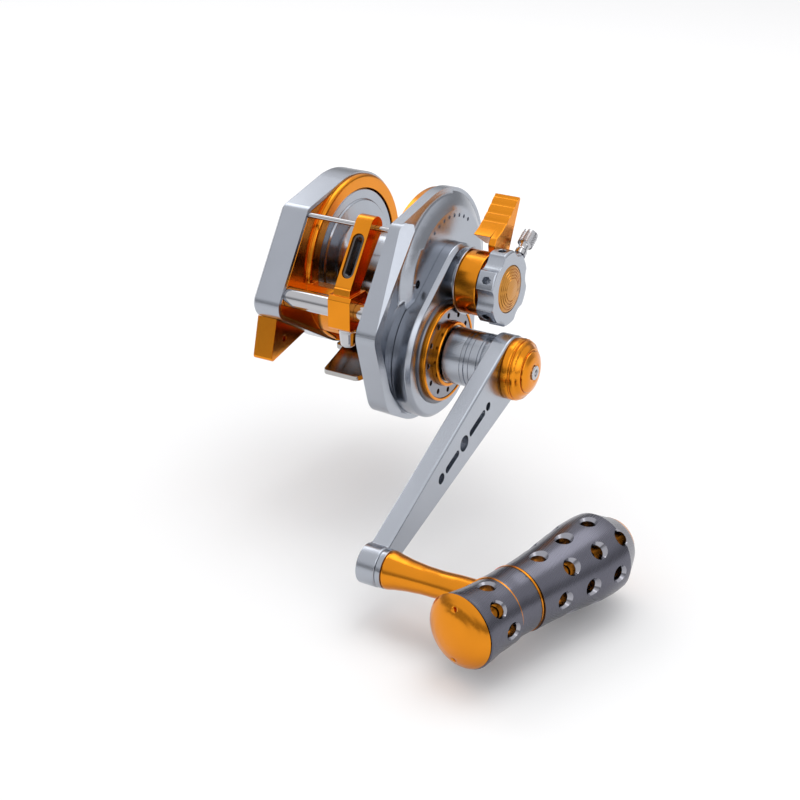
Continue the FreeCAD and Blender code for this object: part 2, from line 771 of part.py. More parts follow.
def make_spool():
    """The spool: two flanges, a tapered arbor, and a cup in its gear side for the drag."""
    out_left, out_right = -half_spool - flange_thickness, half_spool + flange_thickness
    cup = arbor_radius + 7.5
    arbor = arbor_radius
    turned("spool", SPOOL, [
        (out_left, shaft_radius + 3.5), (out_right - 1.8, shaft_radius + 3.5), (out_right - 1.8, cup),
        (out_right, cup), (out_right, flange_radius - 0.4), (out_right - 0.4, flange_radius),
        (half_spool + 0.4, flange_radius), (half_spool, flange_radius - 0.4),
        (half_spool - 0.4, arbor + 4), (half_spool - 1.8, arbor + 1.0), (half_spool - 3.2, arbor),
        (-half_spool + 5, arbor), (-half_spool + 3.4, arbor + 0.8), (-half_spool + 1.5, arbor + 2.6),
        (-half_spool + 1.0, arbor + 3.4), (-half_spool + 0.7, flange_radius - 4.5),
        (-half_spool, flange_radius - 3.9), (-half_spool, flange_radius - 0.4),
        (-half_spool - 0.4, flange_radius), (out_left + 0.4, flange_radius),
        (out_left, flange_radius - 0.4)])
    spool_bearings = []
    for x in (out_left.value + 0.3, (out_right - 9).value):
        spool_bearings.append(bearing_shape(x, 4.0, shaft_radius.value + 0.03,
                                            shaft_radius.value + 3.45, SPOOL))
    group("spool_bearings", spool_bearings)
    tie_y, tie_z = dim(0), axis_height + arbor_radius
    tie = cylinder("line_tie_pin", dim(1.1), tie_z + 0.02, tie_z + 1.1, (half_spool - 7, tie_y), along="Z")
    keep(tie, "line_tie_pin")
    ring("drag_washer", SPOOL, out_right - 1.7, out_right - 0.8, shaft_radius + 4, cup - 0.6)
    ring("spool_gear_hub", SPOOL, left_out - 2.1, out_left - 0.05, shaft_radius + 0.1, dim(5.2))


def bearing_shape(start, width, inner, outer, axis):
    y, z = at(*axis)
    outer_ring = Part.makeCylinder(outer, width, V(start, y, z), V(1, 0, 0))
    hole = Part.makeCylinder(inner, width + 2, V(start - 1, y, z), V(1, 0, 0))
    body = outer_ring.cut(hole)
    mid = (inner + outer) / 2
    for face in (start, start + width - 0.3):
        groove = Part.makeCylinder(mid + 0.5, 0.3, V(face, y, z), V(1, 0, 0)).cut(
            Part.makeCylinder(mid - 0.5, 0.3, V(face, y, z), V(1, 0, 0)))
        body = body.cut(groove)
    return body


def make_drag():
    """Drive plate, shaft, springs, cam, lever and preset knob on the spool's axis."""
    out_right = half_spool + flange_thickness
    cup = arbor_radius + 7.5
    sleeve = shaft_radius + 2.2
    turned("drive_plate", SPOOL, [
        (out_right - 0.7, shaft_radius + running), (plate_in + 3.4, shaft_radius + running),
        (plate_in + 3.4, sleeve), (out_right + 1.0, sleeve), (out_right + 1.0, cup - 0.5),
        (out_right - 0.7, cup - 0.5)])
    turned("spool_shaft", SPOOL, [
        (cover_out + cover_wall + 0.2, ZERO), (knob_start - 0.3, ZERO),
        (knob_start - 0.3, shaft_radius), (cover_out + cover_wall + 0.2, shaft_radius)])
    group("left_shaft_bearing", [bearing_shape((cover_out + cover_wall + 0.1).value, 3.0,
                                               (shaft_radius + running).value,
                                               (shaft_radius + 3.5).value, SPOOL)])
    group("pinion_bearing", [bearing_shape((plate_in + 0.2).value, 3.0, (sleeve + running).value,
                                           (sleeve + 3.2).value, SPOOL)])
    springs = []
    for i in range(4):
        x = (hub_start + 2.6).value + 1.2 * i
        low, high = shaft_radius.value + 0.3, shaft_radius.value + 3.6
        springs.append(spring_washer(x, low, high, i % 2 == 1, SPOOL))
    group("preset_springs", springs)
    ring("hub_ring", SPOOL, housing_face + 3.15, hub_start - 0.1, shaft_radius + 5.3, hub_radius + 0.7)
    ring("cam_follower", SPOOL, hub_start + 0.3, hub_start + 2.2, shaft_radius + 0.3, hub_radius - 4.9)


def spring_washer(x, low, high, flipped, axis):
    """A coned washer, as a thin four-sided profile turned about X."""
    rise = 0.35
    a, b = (x, x + rise) if flipped else (x + rise, x)
    profile = [V(a, low, 0), V(a + 0.5, low, 0), V(b + 0.5, high, 0), V(b, high, 0), V(a, low, 0)]
    washer = Part.Face(Part.makePolygon(profile)).revolve(V(0, 0, 0), V(1, 0, 0), 360)
    washer.translate(V(0, *at(*axis)))
    return washer


def lever_point(radius_share, across):
    """A corner of the lever at a share of its reach, and a distance across it."""
    angle = math.radians(37)
    radius = lever_reach.value * radius_share
    y = radius * math.sin(angle) - across * math.cos(angle)
    z = radius * math.cos(angle) + across * math.sin(angle)
    return dim(y), axis_height + z


def make_lever():
    """Drag lever: a hollow hub, and a wedge whose thumb face overhangs the hub on one side."""
    body = new_body("lever_body")
    pad(body, "hub", hub_start, hub_end, [(ZERO, axis_height, hub_radius)])
    pad(body, "hub_step", hub_end - 0.2, hub_end + 0.9, [(ZERO, axis_height, hub_radius - 2.2)])
    doc.recompute()
    dress(body, "PartDesign::Fillet", "hub_edge", 0.5,
          circle_edges(body.Tip.Shape, hub_radius.value, hub_end.value))
    wedge = [lever_point(0.30, 5.6), lever_point(0.36, 7.8), lever_point(0.435, 8.0)]
    face = [lever_point(0.56, 5.2), lever_point(0.78, 2.6), lever_point(0.985, 1.0)]
    back = [lever_point(1.0, 0.2), lever_point(0.995, -0.9), lever_point(0.66, -3.6),
            lever_point(0.42, -5.6), lever_point(0.30, -5.6)]
    overhang = [lever_point(0.45, 7.6)] + face + back[:3] + [lever_point(0.47, -4.4)]
    for outline in (wedge + face + back, overhang):
        outline.reverse()
    slab(body, "web", hub_end - 2.4, hub_end + 0.5, wedge_outline(wedge, face, back))
    slab(body, "thumb_pad", hub_start - 1.2, hub_end - 2.3, overhang)
    cut(body, "hub_hollow", hub_start - 1, hub_end - 1.6, [(ZERO, axis_height, hub_radius - 2)])
    cut(body, "shaft_way", hub_end - 3, hub_end + 3, [(ZERO, axis_height, shaft_radius + running)])
    doc.recompute()
    keep(body, "drag_lever")
    plunger = cylinder("detent_plunger", dim(1.0), hub_start + 0.2, hub_end - 1.65,
                       (ZERO, axis_height + hub_radius - 3.4))
    keep(plunger, "detent_plunger")


def wedge_outline(wedge, face, back):
    """The whole wedge from hub to tip, clockwise as seen from the gear side."""
    outline = wedge + face + back
    outline.reverse()
    return outline


def detent_spot(back_deg):
    angle = math.radians(back_deg)
    y, z = detent_radius.value * math.sin(angle), detent_radius.value * math.cos(angle)
    return dim(y), axis_height + z


def make_knob():
    """The preset star knob with radial holes, its cap and the knurled stick in one hole."""
    body = new_body("knob_body")
    pad(body, "knob_disc", knob_start, knob_end, [(ZERO, axis_height, knob_radius)])
    doc.recompute()
    dress(body, "PartDesign::Chamfer", "knob_edge", 0.7,
          circle_edges(body.Tip.Shape, knob_radius.value, knob_end.value))
    cut(body, "cap_seat", knob_end - 1.4, knob_end + 1, [(ZERO, axis_height, knob_radius - 5.6)])
    tools = []
    for i in range(6):
        angle = math.radians(2 + 60 * i)
        reach = (knob_radius + 4.2).value
        centre = V(knob_start.value - 1, reach * math.cos(angle), axis_height.value + reach * math.sin(angle))
        scallop = doc.addObject("Part::Cylinder", f"scallop_{i}")
        scallop.Radius = 6.3
        scallop.Height = knob_length.value + 2
        scallop.Placement = FreeCAD.Placement(centre, FreeCAD.Rotation(V(0, 1, 0), 90))
        tools.append(scallop)
        angle += math.radians(30)
        hole = doc.addObject("Part::Cylinder", f"radial_hole_{i}")
        hole.Radius = 1.45
        hole.Height = 6
        direction = V(0, math.cos(angle), math.sin(angle))
        base = V((knob_start + knob_length / 2).value, 0, axis_height.value) + direction * (
            knob_radius.value - 4)
        hole.Placement = FreeCAD.Placement(base, FreeCAD.Rotation(V(0, 0, 1), direction))
        tools.append(hole)
    keep(boolean("Cut", "preset_knob", body, tools), "preset_knob")
    turned("knob_cap", SPOOL, [
        (knob_end - 1.3, ZERO), (knob_end + 1.3, ZERO), (knob_end + 1.1, dim(3.0)),
        (knob_end + 0.7, dim(6.0)), (knob_end + 0.1, knob_radius - 6.1),
        (knob_end - 0.2, knob_radius - 5.7), (knob_end - 1.3, knob_radius - 5.7)])
    stick = new_body("preset_stick")
    foot = knob_radius - 3.9
    turn(stick, "stick_turned", [
        (foot, ZERO), (foot + 17.4, ZERO), (foot + 17.4, dim(1.9)), (foot + 16.5, dim(3.0)),
        (foot + 11.2, dim(3.0)), (foot + 10.3, dim(2.1)), (foot + 8.0, dim(1.9)), (foot + 7.4, dim(2.4)),
        (foot + 5.4, dim(2.4)), (foot + 5.2, dim(1.4)), (foot, dim(1.4))])
    angle = math.radians(32)
    stick.Placement = FreeCAD.Placement(
        V((knob_start + knob_length / 2).value, 0, axis_height.value),
        FreeCAD.Rotation(V(1, 0, 0), V(0, math.cos(angle), math.sin(angle))))
    bind(stick, ".Placement.Base.x", knob_start + knob_length / 2)
    bind(stick, ".Placement.Base.z", axis_height)
    keep(stick, "preset_stick")


# ---- Gear side ----

def front_bevel(ridge_top):
    """A block whose underside bevels the ridge, deep at its top and fading out at the low nose."""
    top = V(0, -top_nose_y.value, (axis_height + top_nose_z).value)
    low = V(0, -gear_side_nose_y.value, (axis_height - gear_side_nose_z).value)
    along = (low - top).normalize()
    outward = V(0, along.z, -along.y)
    edge = top + outward * top_nose_r.value
    first = edge + V((ridge_top - bevel_depth).value, 0, 0)
    second = edge - outward * (bevel_depth.value * 1.2) + V(ridge_top.value, 0, 0)
    third = low + outward * gear_side_nose_r.value + V(ridge_top.value, 0, 0)
    up = (second - first).cross(third - first).normalize()
    if up.x < 0:
        up = up * -1
    block = doc.addObject("Part::Box", "bevel_block")
    block.Length, block.Width, block.Height = 160, 160, 20
    turn_up = FreeCAD.Rotation(V(0, 0, 1), up)
    block.Placement = FreeCAD.Placement(first - turn_up.multVec(V(80, 80, 0)), turn_up)
    return block


def make_side_plate():
    """Side plate: a skirt over the frame, a floor, a front ridge, a gear step and a coned crown."""
    body = new_body("side_plate_body")
    floor = plate_in + floor_depth
    pad(body, "wall", right_in, floor, right_outline())
    cut(body, "frame_seat", right_in - 1, plate_in, right_outline(plate_wall))
    ridge_top = plate_face + 0.3
    pad(body, "ridge", floor - 0.2, ridge_top, [
        (-top_nose_y, axis_height + top_nose_z, top_nose_r),
        (-gear_side_nose_y, axis_height - gear_side_nose_z, gear_side_nose_r),
        (-chin_y, axis_height - chin_z, chin_r)])
    hollow = new_body("ridge_hollow")
    slab(hollow, "ridge_hollow_pad", floor, ridge_top + 1, [
        (-top_nose_y + 8.0, axis_height + top_nose_z + 20), (-top_nose_y + 0.9, axis_height + top_nose_z + 0.5),
        (-gear_side_nose_y + 5.3, axis_height - gear_side_nose_z + 13.8),
        (-gear_side_nose_y - 2.9, axis_height - gear_side_nose_z - 0.8),
        (-chin_y - 7.0, axis_height - chin_z + 1.0),
        (-chin_y - 0.5, axis_height - chin_z - 8.5),
        (ZERO, axis_height - 90), (plate_round, axis_height)])
    step = new_body("gear_step")
    pad(step, "gear_step_pad", floor - 0.2, floor + step_height, [
        (ZERO, axis_height, hub_round + 0.5), (dim(-27.5), axis_height - 19, 17.0),
        (-main_y, axis_height - main_z, housing_round + 0.5)])
    crown = new_body("crown")
    rim = floor - 0.6
    turn(crown, "crown_cone", [
        (floor - 1, ZERO), (plate_face, ZERO), (plate_face, plate_round - 8.2),
        (plate_face - 1.6, plate_round - 4.6), (rim, plate_round - 0.6), (rim - 0.3, plate_round - 0.1),
        (floor - 1, plate_round - 0.1)])
    place(crown, SPOOL)
    bevelled = boolean("Cut", "side_plate_ridged", body, [hollow, front_bevel(ridge_top)])
    joined = boolean("MultiFuse", "side_plate_joined", bevelled, [crown, step])
    room = new_body("housing_room")
    pad(room, "housing_room_pad", floor + step_height, plate_face + 3, housing_outline(-seat))
    tools = [
        room,
        cylinder("rod_end_way", rod_radius + running, right_in - 1, plate_in, ROD),
        cylinder("pinion_way", shaft_radius + 5.4 + running, plate_in - 1, plate_in + 3.3, SPOOL),
        cylinder("pinion_recess", gear_module * pinion_teeth / 2 + 1.8, plate_in + 3.2,
                 plate_face + 1, SPOOL),
        cylinder("main_seat", shaft_main + 3.0 + seat, plate_in + 1.2, plate_face + 1, MAIN)]
    for i in range(11):
        y, z = detent_spot(37 - 9.4 * i)
        tools.append(cylinder(f"detent_{i}", dim(0.75), plate_face - 0.6, plate_face + 1, (y, z)))
    for i, (y, z) in enumerate(plate_screw_places()):
        tools.append(cylinder(f"plate_screw_way_{i}", dim(1.7), floor - 1.4, floor + 4, (y, z)))
    keep(boolean("Cut", "right_side_plate", joined, tools), "right_side_plate")


def housing_outline(inset=ZERO):
    return [(-main_y, axis_height - main_z, housing_round - inset), (ZERO, axis_height, hub_round - inset)]


def plate_screw_places():
    return [(dim(-24.0), axis_height + 4.5), (dim(-21.6), axis_height - 0.9)]


def make_housing():
    """Gear housing: a teardrop cover over both gears, with a broad chamfer."""
    body = new_body("housing_body")
    base = plate_in + floor_depth + step_height + seat
    pad(body, "shell", base, housing_face, housing_outline())
    doc.recompute()
    dress(body, "PartDesign::Chamfer", "broad_edge", 1.5, outline_edges(body.Tip.Shape, housing_face.value))
    cavity = gear_module * main_teeth / 2 + 0.95
    cut(body, "gear_room", base - 1, housing_face - housing_wall,
        [(-main_y, axis_height - main_z, cavity),
         (ZERO, axis_height, gear_module * pinion_teeth / 2 + 1.8)])
    pad(body, "hub_boss", housing_face - 0.2, housing_face + 3.1, [(ZERO, axis_height, shaft_radius + 5)])
    cut(body, "shaft_way", plate_face, housing_face + 5, [(ZERO, axis_height, shaft_radius + running)])
    cut(body, "main_way", plate_face, housing_face + 5,
        [(-main_y, axis_height - main_z, shaft_main + 3.2 + seat)])
    keep(body, "gear_housing")


def make_main_bearings():
    """Bearings, one-way clutch and the decorated ring round the main shaft."""
    inner, outer = (shaft_main + running).value, (shaft_main + 3.0).value
    group("main_bearing_inner", [bearing_shape((plate_in + 1.4).value, 3.0, inner, outer, MAIN)])
    group("main_bearing_outer", [bearing_shape((housing_face - housing_wall + 0.1).value, 1.5, inner,
                                               outer + 0.2, MAIN)])
    collar, rim = sleeve_radius + 0.3, sleeve_radius + 7.9
    face = housing_face
    ring("one_way_clutch", MAIN, face + 0.1, face + 4.4, shaft_main + running, collar - 0.1)
    turned("bearing_retainer", MAIN, [
        (face, rim + 0.05), (face + 0.9, rim + 0.05), (face + 0.9, rim + 1.0), (face + 0.4, rim + 1.5),
        (face, rim + 1.5)])
    turned("gold_ring", MAIN, [
        (face + 0.05, collar), (face + 4.7, collar), (face + 4.9, collar + 0.3),
        (face + 4.9, collar + 1.0), (face + 4.5, collar + 1.4), (face + 0.9, collar + 1.4),
        (face + 0.9, rim - 1.1), (face + 2.6, rim - 1.1), (face + 2.8, rim - 0.9),
        (face + 2.8, rim - 0.3), (face + 2.5, rim), (face + 0.05, rim)])
    body = new_body("drilled_ring")
    turn(body, "ring_turned", [
        (face + 1.0, collar + 1.5), (face + 2.4, collar + 1.5), (face + 2.4, rim - 1.2),
        (face + 1.0, rim - 1.2)])
    sketch = sketch_on(body, "YZ_Plane", "ring_hole_outline", face)
    belt(sketch, [(collar + 4.0, ZERO, 1.05)])
    hole = feature(body, "PartDesign::Pocket", "ring_hole", sketch, dim(4), reverse=True)
    pattern = body.newObject("PartDesign::PolarPattern", "ring_holes")
    pattern.Originals = [hole]
    pattern.Axis = (sketch, ["N_Axis"])
    pattern.Angle = 360
    pattern.Occurrences = 12
    body.Tip = pattern
    keep(place(body, MAIN), "drilled_ring")


# ---- Handle ----

def make_handle():
    """Main shaft, sleeve, arm, nut and screw."""
    turned("main_shaft", MAIN, [
        (plate_in + 1.3, ZERO), (arm_end + 1.0, ZERO), (arm_end + 1.0, shaft_main),
        (plate_in + 1.3, shaft_main)])
    first, second = arm_start - 8.9, arm_start - 3.7
    bore = shaft_main + 0.02
    groove, wide = sleeve_radius - 0.35, 0.25
    turned("handle_sleeve", MAIN, [
        (sleeve_start, bore), (arm_start, bore), (arm_start, sleeve_radius - 0.3),
        (arm_start - 0.3, sleeve_radius), (second + wide, sleeve_radius), (second + wide, groove),
        (second - wide, groove), (second - wide, sleeve_radius), (first + wide, sleeve_radius),
        (first + wide, groove), (first - wide, groove), (first - wide, sleeve_radius),
        (sleeve_start + 0.4, sleeve_radius), (sleeve_start, sleeve_radius - 0.4)])
    body = new_body("handle_arm")
    reach = arm_length
    pad(body, "arm_bar", arm_start, arm_end, [(ZERO, ZERO, arm_head), (-reach, ZERO, arm_tail)])
    pad(body, "arm_eye", arm_start - 0.6, arm_end, [(-reach, ZERO, arm_eye)])
    doc.recompute()
    dress(body, "PartDesign::Chamfer", "arm_edges", 0.6, outline_edges(body.Tip.Shape, arm_end.value))
    cut(body, "shaft_hole", arm_start - 1, arm_end + 1, [(ZERO, ZERO, shaft_main + 0.03)])
    cut(body, "post_hole", arm_start - 1, arm_end + 1, [(-reach, ZERO, post_radius + 0.03)])
    windows = (("round_high", 21.2, 21.2, 1.6), ("slot_high", 25.2, 35.0, 1.4),
               ("eye_middle", 40.7, 40.7, 3.0), ("slot_low", 46.4, 54.0, 1.4),
               ("round_low", 58.8, 58.8, 2.0))
    for name, near, far, radius in windows:
        discs = [(dim(-near), ZERO, radius)]
        if far > near:
            discs.append((dim(-far), ZERO, radius))
        cut(body, name, arm_start - 1, arm_end + 1, discs)
    body.Placement = FreeCAD.Placement(
        V(0, MAIN[0].value, MAIN[1].value), FreeCAD.Rotation(V(1, 0, 0), arm_angle.value))
    bind(body, ".Placement.Base.y", MAIN[0])
    bind(body, ".Placement.Base.z", MAIN[1])
    keep(body, "handle_arm")
    turned("handle_nut", MAIN, [
        (arm_end + 1.1, ZERO), (arm_end + 8.6, ZERO), (arm_end + 8.6, dim(3.1)), (arm_end + 9.0, dim(3.4)),
        (arm_end + 8.6, dim(5.6)), (arm_end + 7.7, dim(7.8)), (arm_end + 6.4, dim(9.4)),
        (arm_end + 5.2, nut_radius - 1.5), (arm_end + 5.0, nut_radius - 0.8),
        (arm_end + 3.6, nut_radius - 0.1), (arm_end + 3.3, nut_radius - 0.5),
        (arm_end + 2.9, nut_radius - 0.5), (arm_end + 2.6, nut_radius), (arm_end + 0.6, nut_radius),
        (arm_end + 0.05, nut_radius - 0.5), (arm_end + 0.05, shaft_main + 0.1),
        (arm_end + 1.1, shaft_main + 0.1)])
    body = new_body("handle_screw")
    turn(body, "screw_turned", [
        (arm_end + 8.7, ZERO), (arm_end + 9.5, ZERO), (arm_end + 9.5, dim(2.3)),
        (arm_end + 9.3, dim(2.8)), (arm_end + 8.7, dim(2.8))])
    sketch = sketch_on(body, "YZ_Plane", "socket_outline", arm_end + 8.9)
    polygon(sketch, [(1.5 * math.cos(math.radians(60 * i)), 1.5 * math.sin(math.radians(60 * i)))
                     for i in range(6)])
    feature(body, "PartDesign::Pocket", "socket", sketch, dim(3), reverse=True)
    keep(place(body, MAIN), "handle_screw")


# ---- Grip ----

def grip_axis():
    """Where the grip's post stands: the far end of the arm."""
    angle = math.radians(arm_angle.value)
    y = MAIN[0].value - arm_length.value * math.cos(angle)
    z = MAIN[1].value - arm_length.value * math.sin(angle)
    return dim(y), dim(z)


def grip_place(thing):
    """Puts a piece turned about X onto the grip's skewed axis."""
    y, z = at(*grip_axis())
    thing.Placement = FreeCAD.Placement(
        V((arm_end + grip_reach).value, y, z), FreeCAD.Rotation(V(0, 0, 1), 90 - grip_skew.value))
    return thing


def make_shank():
    """Post, ring and waisted shank that carry the grip."""
    post = grip_axis()
    start = arm_end + 2.2
    middle = arm_end + grip_reach
    turned("grip_post", post, [
        (arm_start - 0.4, ZERO), (middle - 3.2, ZERO), (middle - 3.2, dim(4.4)), (middle - 5.0, dim(4.4)),
        (middle - 5.0, post_radius), (arm_start - 0.4, post_radius)])
    ring("grip_ring", post, arm_end + 0.1, start - 0.1, post_radius + running, arm_eye - 0.2)
    turned("grip_shank", post, [
        (start, post_radius + running), (middle - 5.3, post_radius + running), (middle - 5.3, dim(5.5)),
        (start + shank_length * 0.72, dim(5.3)), (start + shank_length * 0.55, dim(4.95)),
        (start + shank_length * 0.38, dim(5.05)), (start + shank_length * 0.22, dim(5.6)),
        (start + shank_length * 0.1, dim(6.3)), (start + shank_length * 0.04, dim(6.8)),
        (start + 0.6, dim(6.9)), (start, dim(6.5))])


def shank_passed(label, body):
    """Cuts the shank's way in, along the post's own axis, and keeps the piece."""
    doc.recompute()
    middle = arm_end + grip_reach
    way = cylinder(label + "_shank_way", dim(5.8), middle - 24, middle, grip_axis())
    return keep(boolean("Cut", label, body, [way]), label)


def grip_section(label, outer, with_shank=False, rows=()):
    """One turned length of the grip's shell, with its rows of holes and the shank's way in."""
    body = new_body(label + "_turning")
    first, last = outer[0][0], outer[-1][0]
    turn(body, label + "_turned", [(first, grip_bore), (last, grip_bore)] + outer[::-1])
    doc.recompute()
    for i, (station, start_deg) in enumerate(rows):
        sketch = sketch_on(body, "XY_Plane", f"{label}_hole_{i}")
        belt(sketch, [(station, ZERO, grip_hole)])
        hole = feature(body, "PartDesign::Pocket", f"{label}_hole_cut_{i}", sketch, dim(30), reverse=True)
        pattern = body.newObject("PartDesign::PolarPattern", f"{label}_holes_{i}")
        pattern.Originals = [hole]
        pattern.Axis = (sketch, ["H_Axis"])
        pattern.Angle = 360
        pattern.Occurrences = 4
        body.Tip = pattern
        if start_deg:
            sketch.AttachmentOffset = FreeCAD.Placement(
                V(0, 0, 0), FreeCAD.Rotation(V(1, 0, 0), start_deg))
    doc.recompute()
    grip_place(body)
    return shank_passed(label, body) if with_shank else keep(body, label)


def make_grip():
    """T-bar grip: front and rear shells, a middle that takes the shank, gold rings, liner and caps."""
    ring_at, ring_half = 5.3, 0.4
    mouth = -grip_front
    grip_section("grip_front_shell", [
        (mouth, grip_mouth - 0.3), (mouth + 0.3, grip_mouth), (mouth + 5, grip_mouth - 0.5),
        (mouth + 10, grip_waist + 0.45), (dim(-ring_at - ring_half - 0.05), grip_waist + 0.1)],
        with_shank=True, rows=((dim(-14.5), 45), (dim(-10.6), 0)))
    grip_section("grip_middle", [
        (dim(-ring_at + ring_half + 0.05), grip_waist), (ZERO, grip_waist - 0.15),
        (dim(ring_at - ring_half - 0.05), grip_waist)], with_shank=True)
    back = grip_back
    pitch = 13.2
    rows = []
    for i in range(3):
        rows += [(dim(22.0 + pitch * i), 45), (dim(15.4 + pitch * i), 0)]
    grip_section("grip_rear_shell", [
        (dim(ring_at + ring_half + 0.05), grip_waist + 0.05), (dim(14), grip_waist + 0.4),
        (dim(22), grip_waist + 1.1), (dim(30), grip_belly - 1.2), (dim(37), grip_belly - 0.3),
        (dim(43.5), grip_belly), (dim(48.5), grip_belly - 0.6), (back - 4.0, grip_belly - 2.0),
        (back - 1.0, grip_belly - 4.2), (back, grip_belly - 5.2)], rows=rows)
    for label, station in (("grip_ring_front", -ring_at), ("grip_ring_rear", ring_at)):
        band = new_body(label + "_turning")
        turn(band, label + "_turned", [
            (dim(station - ring_half), grip_bore), (dim(station + ring_half), grip_bore),
            (dim(station + ring_half), grip_waist + 0.15), (dim(station - ring_half), grip_waist + 0.15)])
        shank_passed(label, grip_place(band))
    liner = new_body("liner_turning")
    turn(liner, "liner_turned", [
        (mouth + 0.5, grip_bore - 1.3), (back - 0.5, grip_bore - 1.3), (back - 0.5, grip_bore - 0.05),
        (mouth + 0.5, grip_bore - 0.05)])
    shank_passed("grip_liner", grip_place(liner))
    cap = new_body("grip_front_cap")
    turn(cap, "cap_turned", [
        (mouth - 4.9, ZERO), (mouth - 4.6, dim(4)), (mouth - 3.9, dim(7.4)), (mouth - 2.6, dim(10.4)),
        (mouth - 1.2, grip_mouth - 0.9), (mouth - 0.1, grip_mouth - 0.05), (mouth - 0.05, grip_bore),
        (mouth + 0.3, grip_bore - 1.5), (mouth + 0.3, ZERO)])
    for side in (-1, 1):
        sketch = sketch_on(cap, "YZ_Plane", f"pin_hole_{side + 2}", mouth - 1.2)
        belt(sketch, [(dim(0), dim(9.4 * side), 0.9)])
        feature(cap, "PartDesign::Pocket", f"pin_cut_{side + 2}", sketch, dim(10))
    doc.recompute()
    keep(grip_place(cap), "grip_front_cap")
    end = new_body("grip_rear_cap")
    turn(end, "end_turned", [
        (back + 0.05, ZERO), (back + 2.4, ZERO), (back + 2.2, grip_belly - 8.0),
        (back + 1.6, grip_belly - 6.2), (back + 0.05, grip_belly - 5.3)])
    doc.recompute()
    keep(grip_place(end), "grip_rear_cap")


# ---- Build, check and export ----

def check_document():
    """Stops if any object failed or any piece is not a valid shape."""
    for thing in doc.Objects:
        if "Invalid" in thing.State or "Error" in thing.State:
            raise RuntimeError(f"{thing.Name} did not compute: {thing.State}")
    for piece in OUTPUT:
        if piece.Shape.isNull() or not piece.Shape.isValid() or not piece.Shape.Solids:
            raise RuntimeError(f"{piece.Label} has no valid shape")


def export_parts():
    os.makedirs("parts", exist_ok=True)
    for piece in OUTPUT:
        piece.Shape.exportStep(os.path.join("parts", piece.Label + ".step"))
        print(piece.Label, len(piece.Shape.Solids), round(piece.Shape.Volume, 1))


def main():
    make_frame()
    make_left_cover()
    make_fin()
    make_foot()
    make_foot_screws()
    make_rod_and_tube()
    make_worm()
    make_line_guide()
    make_pawl()
    make_gears()
    make_spool()
    make_drag()
    make_lever()
    make_knob()
    make_side_plate()
    make_housing()
    make_main_bearings()
    make_handle()
    make_shank()
    make_grip()
    doc.recompute()
    check_document()
    export_parts()


main()
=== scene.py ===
"""Looks of a small lever-drag reel with a level wind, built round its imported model."""
import sys
import json
import logging
import math
from dataclasses import dataclass
from enum import Enum

import bmesh
import bpy
from mathutils import Matrix, Vector

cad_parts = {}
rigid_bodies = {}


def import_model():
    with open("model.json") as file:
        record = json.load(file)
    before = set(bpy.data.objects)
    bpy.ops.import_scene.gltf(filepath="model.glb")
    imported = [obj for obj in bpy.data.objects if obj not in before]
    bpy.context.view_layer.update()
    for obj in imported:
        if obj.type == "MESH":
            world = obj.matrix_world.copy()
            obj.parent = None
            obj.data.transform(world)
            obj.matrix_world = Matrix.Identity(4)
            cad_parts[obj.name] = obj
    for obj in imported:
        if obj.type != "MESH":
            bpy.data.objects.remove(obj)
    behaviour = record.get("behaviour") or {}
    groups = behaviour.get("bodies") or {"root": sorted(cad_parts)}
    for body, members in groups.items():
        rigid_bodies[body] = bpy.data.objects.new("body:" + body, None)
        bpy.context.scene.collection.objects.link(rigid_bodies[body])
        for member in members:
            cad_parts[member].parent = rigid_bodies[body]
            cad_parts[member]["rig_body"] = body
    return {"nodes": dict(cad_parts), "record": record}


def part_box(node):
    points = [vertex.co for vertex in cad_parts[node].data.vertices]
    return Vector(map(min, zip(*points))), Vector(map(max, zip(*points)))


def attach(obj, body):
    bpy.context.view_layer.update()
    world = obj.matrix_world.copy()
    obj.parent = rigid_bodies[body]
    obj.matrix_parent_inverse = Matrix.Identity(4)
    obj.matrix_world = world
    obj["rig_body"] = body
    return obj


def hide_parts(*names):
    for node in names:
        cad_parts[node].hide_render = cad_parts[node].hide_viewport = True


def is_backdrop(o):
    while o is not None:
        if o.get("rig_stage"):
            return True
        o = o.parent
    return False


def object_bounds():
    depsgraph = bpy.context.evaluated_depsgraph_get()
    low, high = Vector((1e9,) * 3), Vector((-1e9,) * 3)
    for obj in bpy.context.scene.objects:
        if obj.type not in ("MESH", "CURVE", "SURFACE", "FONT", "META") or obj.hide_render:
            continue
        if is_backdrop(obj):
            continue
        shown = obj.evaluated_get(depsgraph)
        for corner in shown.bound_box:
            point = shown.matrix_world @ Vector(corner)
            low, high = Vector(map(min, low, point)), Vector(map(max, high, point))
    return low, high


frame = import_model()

MM = 0.001
CUTTER_DEPTH = 12
RING_SEGMENTS = 96
MERGE_MM = 0.002
FLAT_DEG = 0.04
LOG = logging.getLogger("reel")
Colour = tuple[float, float, float]
Profile = list[tuple[float, float]]


# ---- Finishes ----

class Grain(Enum):
    """How a surface was worked, which sets the direction of its fine marks."""

    POLISHED = (1.0, 1.0, 1.0)
    TURNED = (1.0, 0.0, 0.0)
    BRUSHED = (0.06, 1.0, 0.06)


def link(tree: bpy.types.NodeTree, start: bpy.types.NodeSocket, end: bpy.types.NodeSocket) -> None:
    """Joins two sockets of a tree."""
    tree.links.new(start, end)


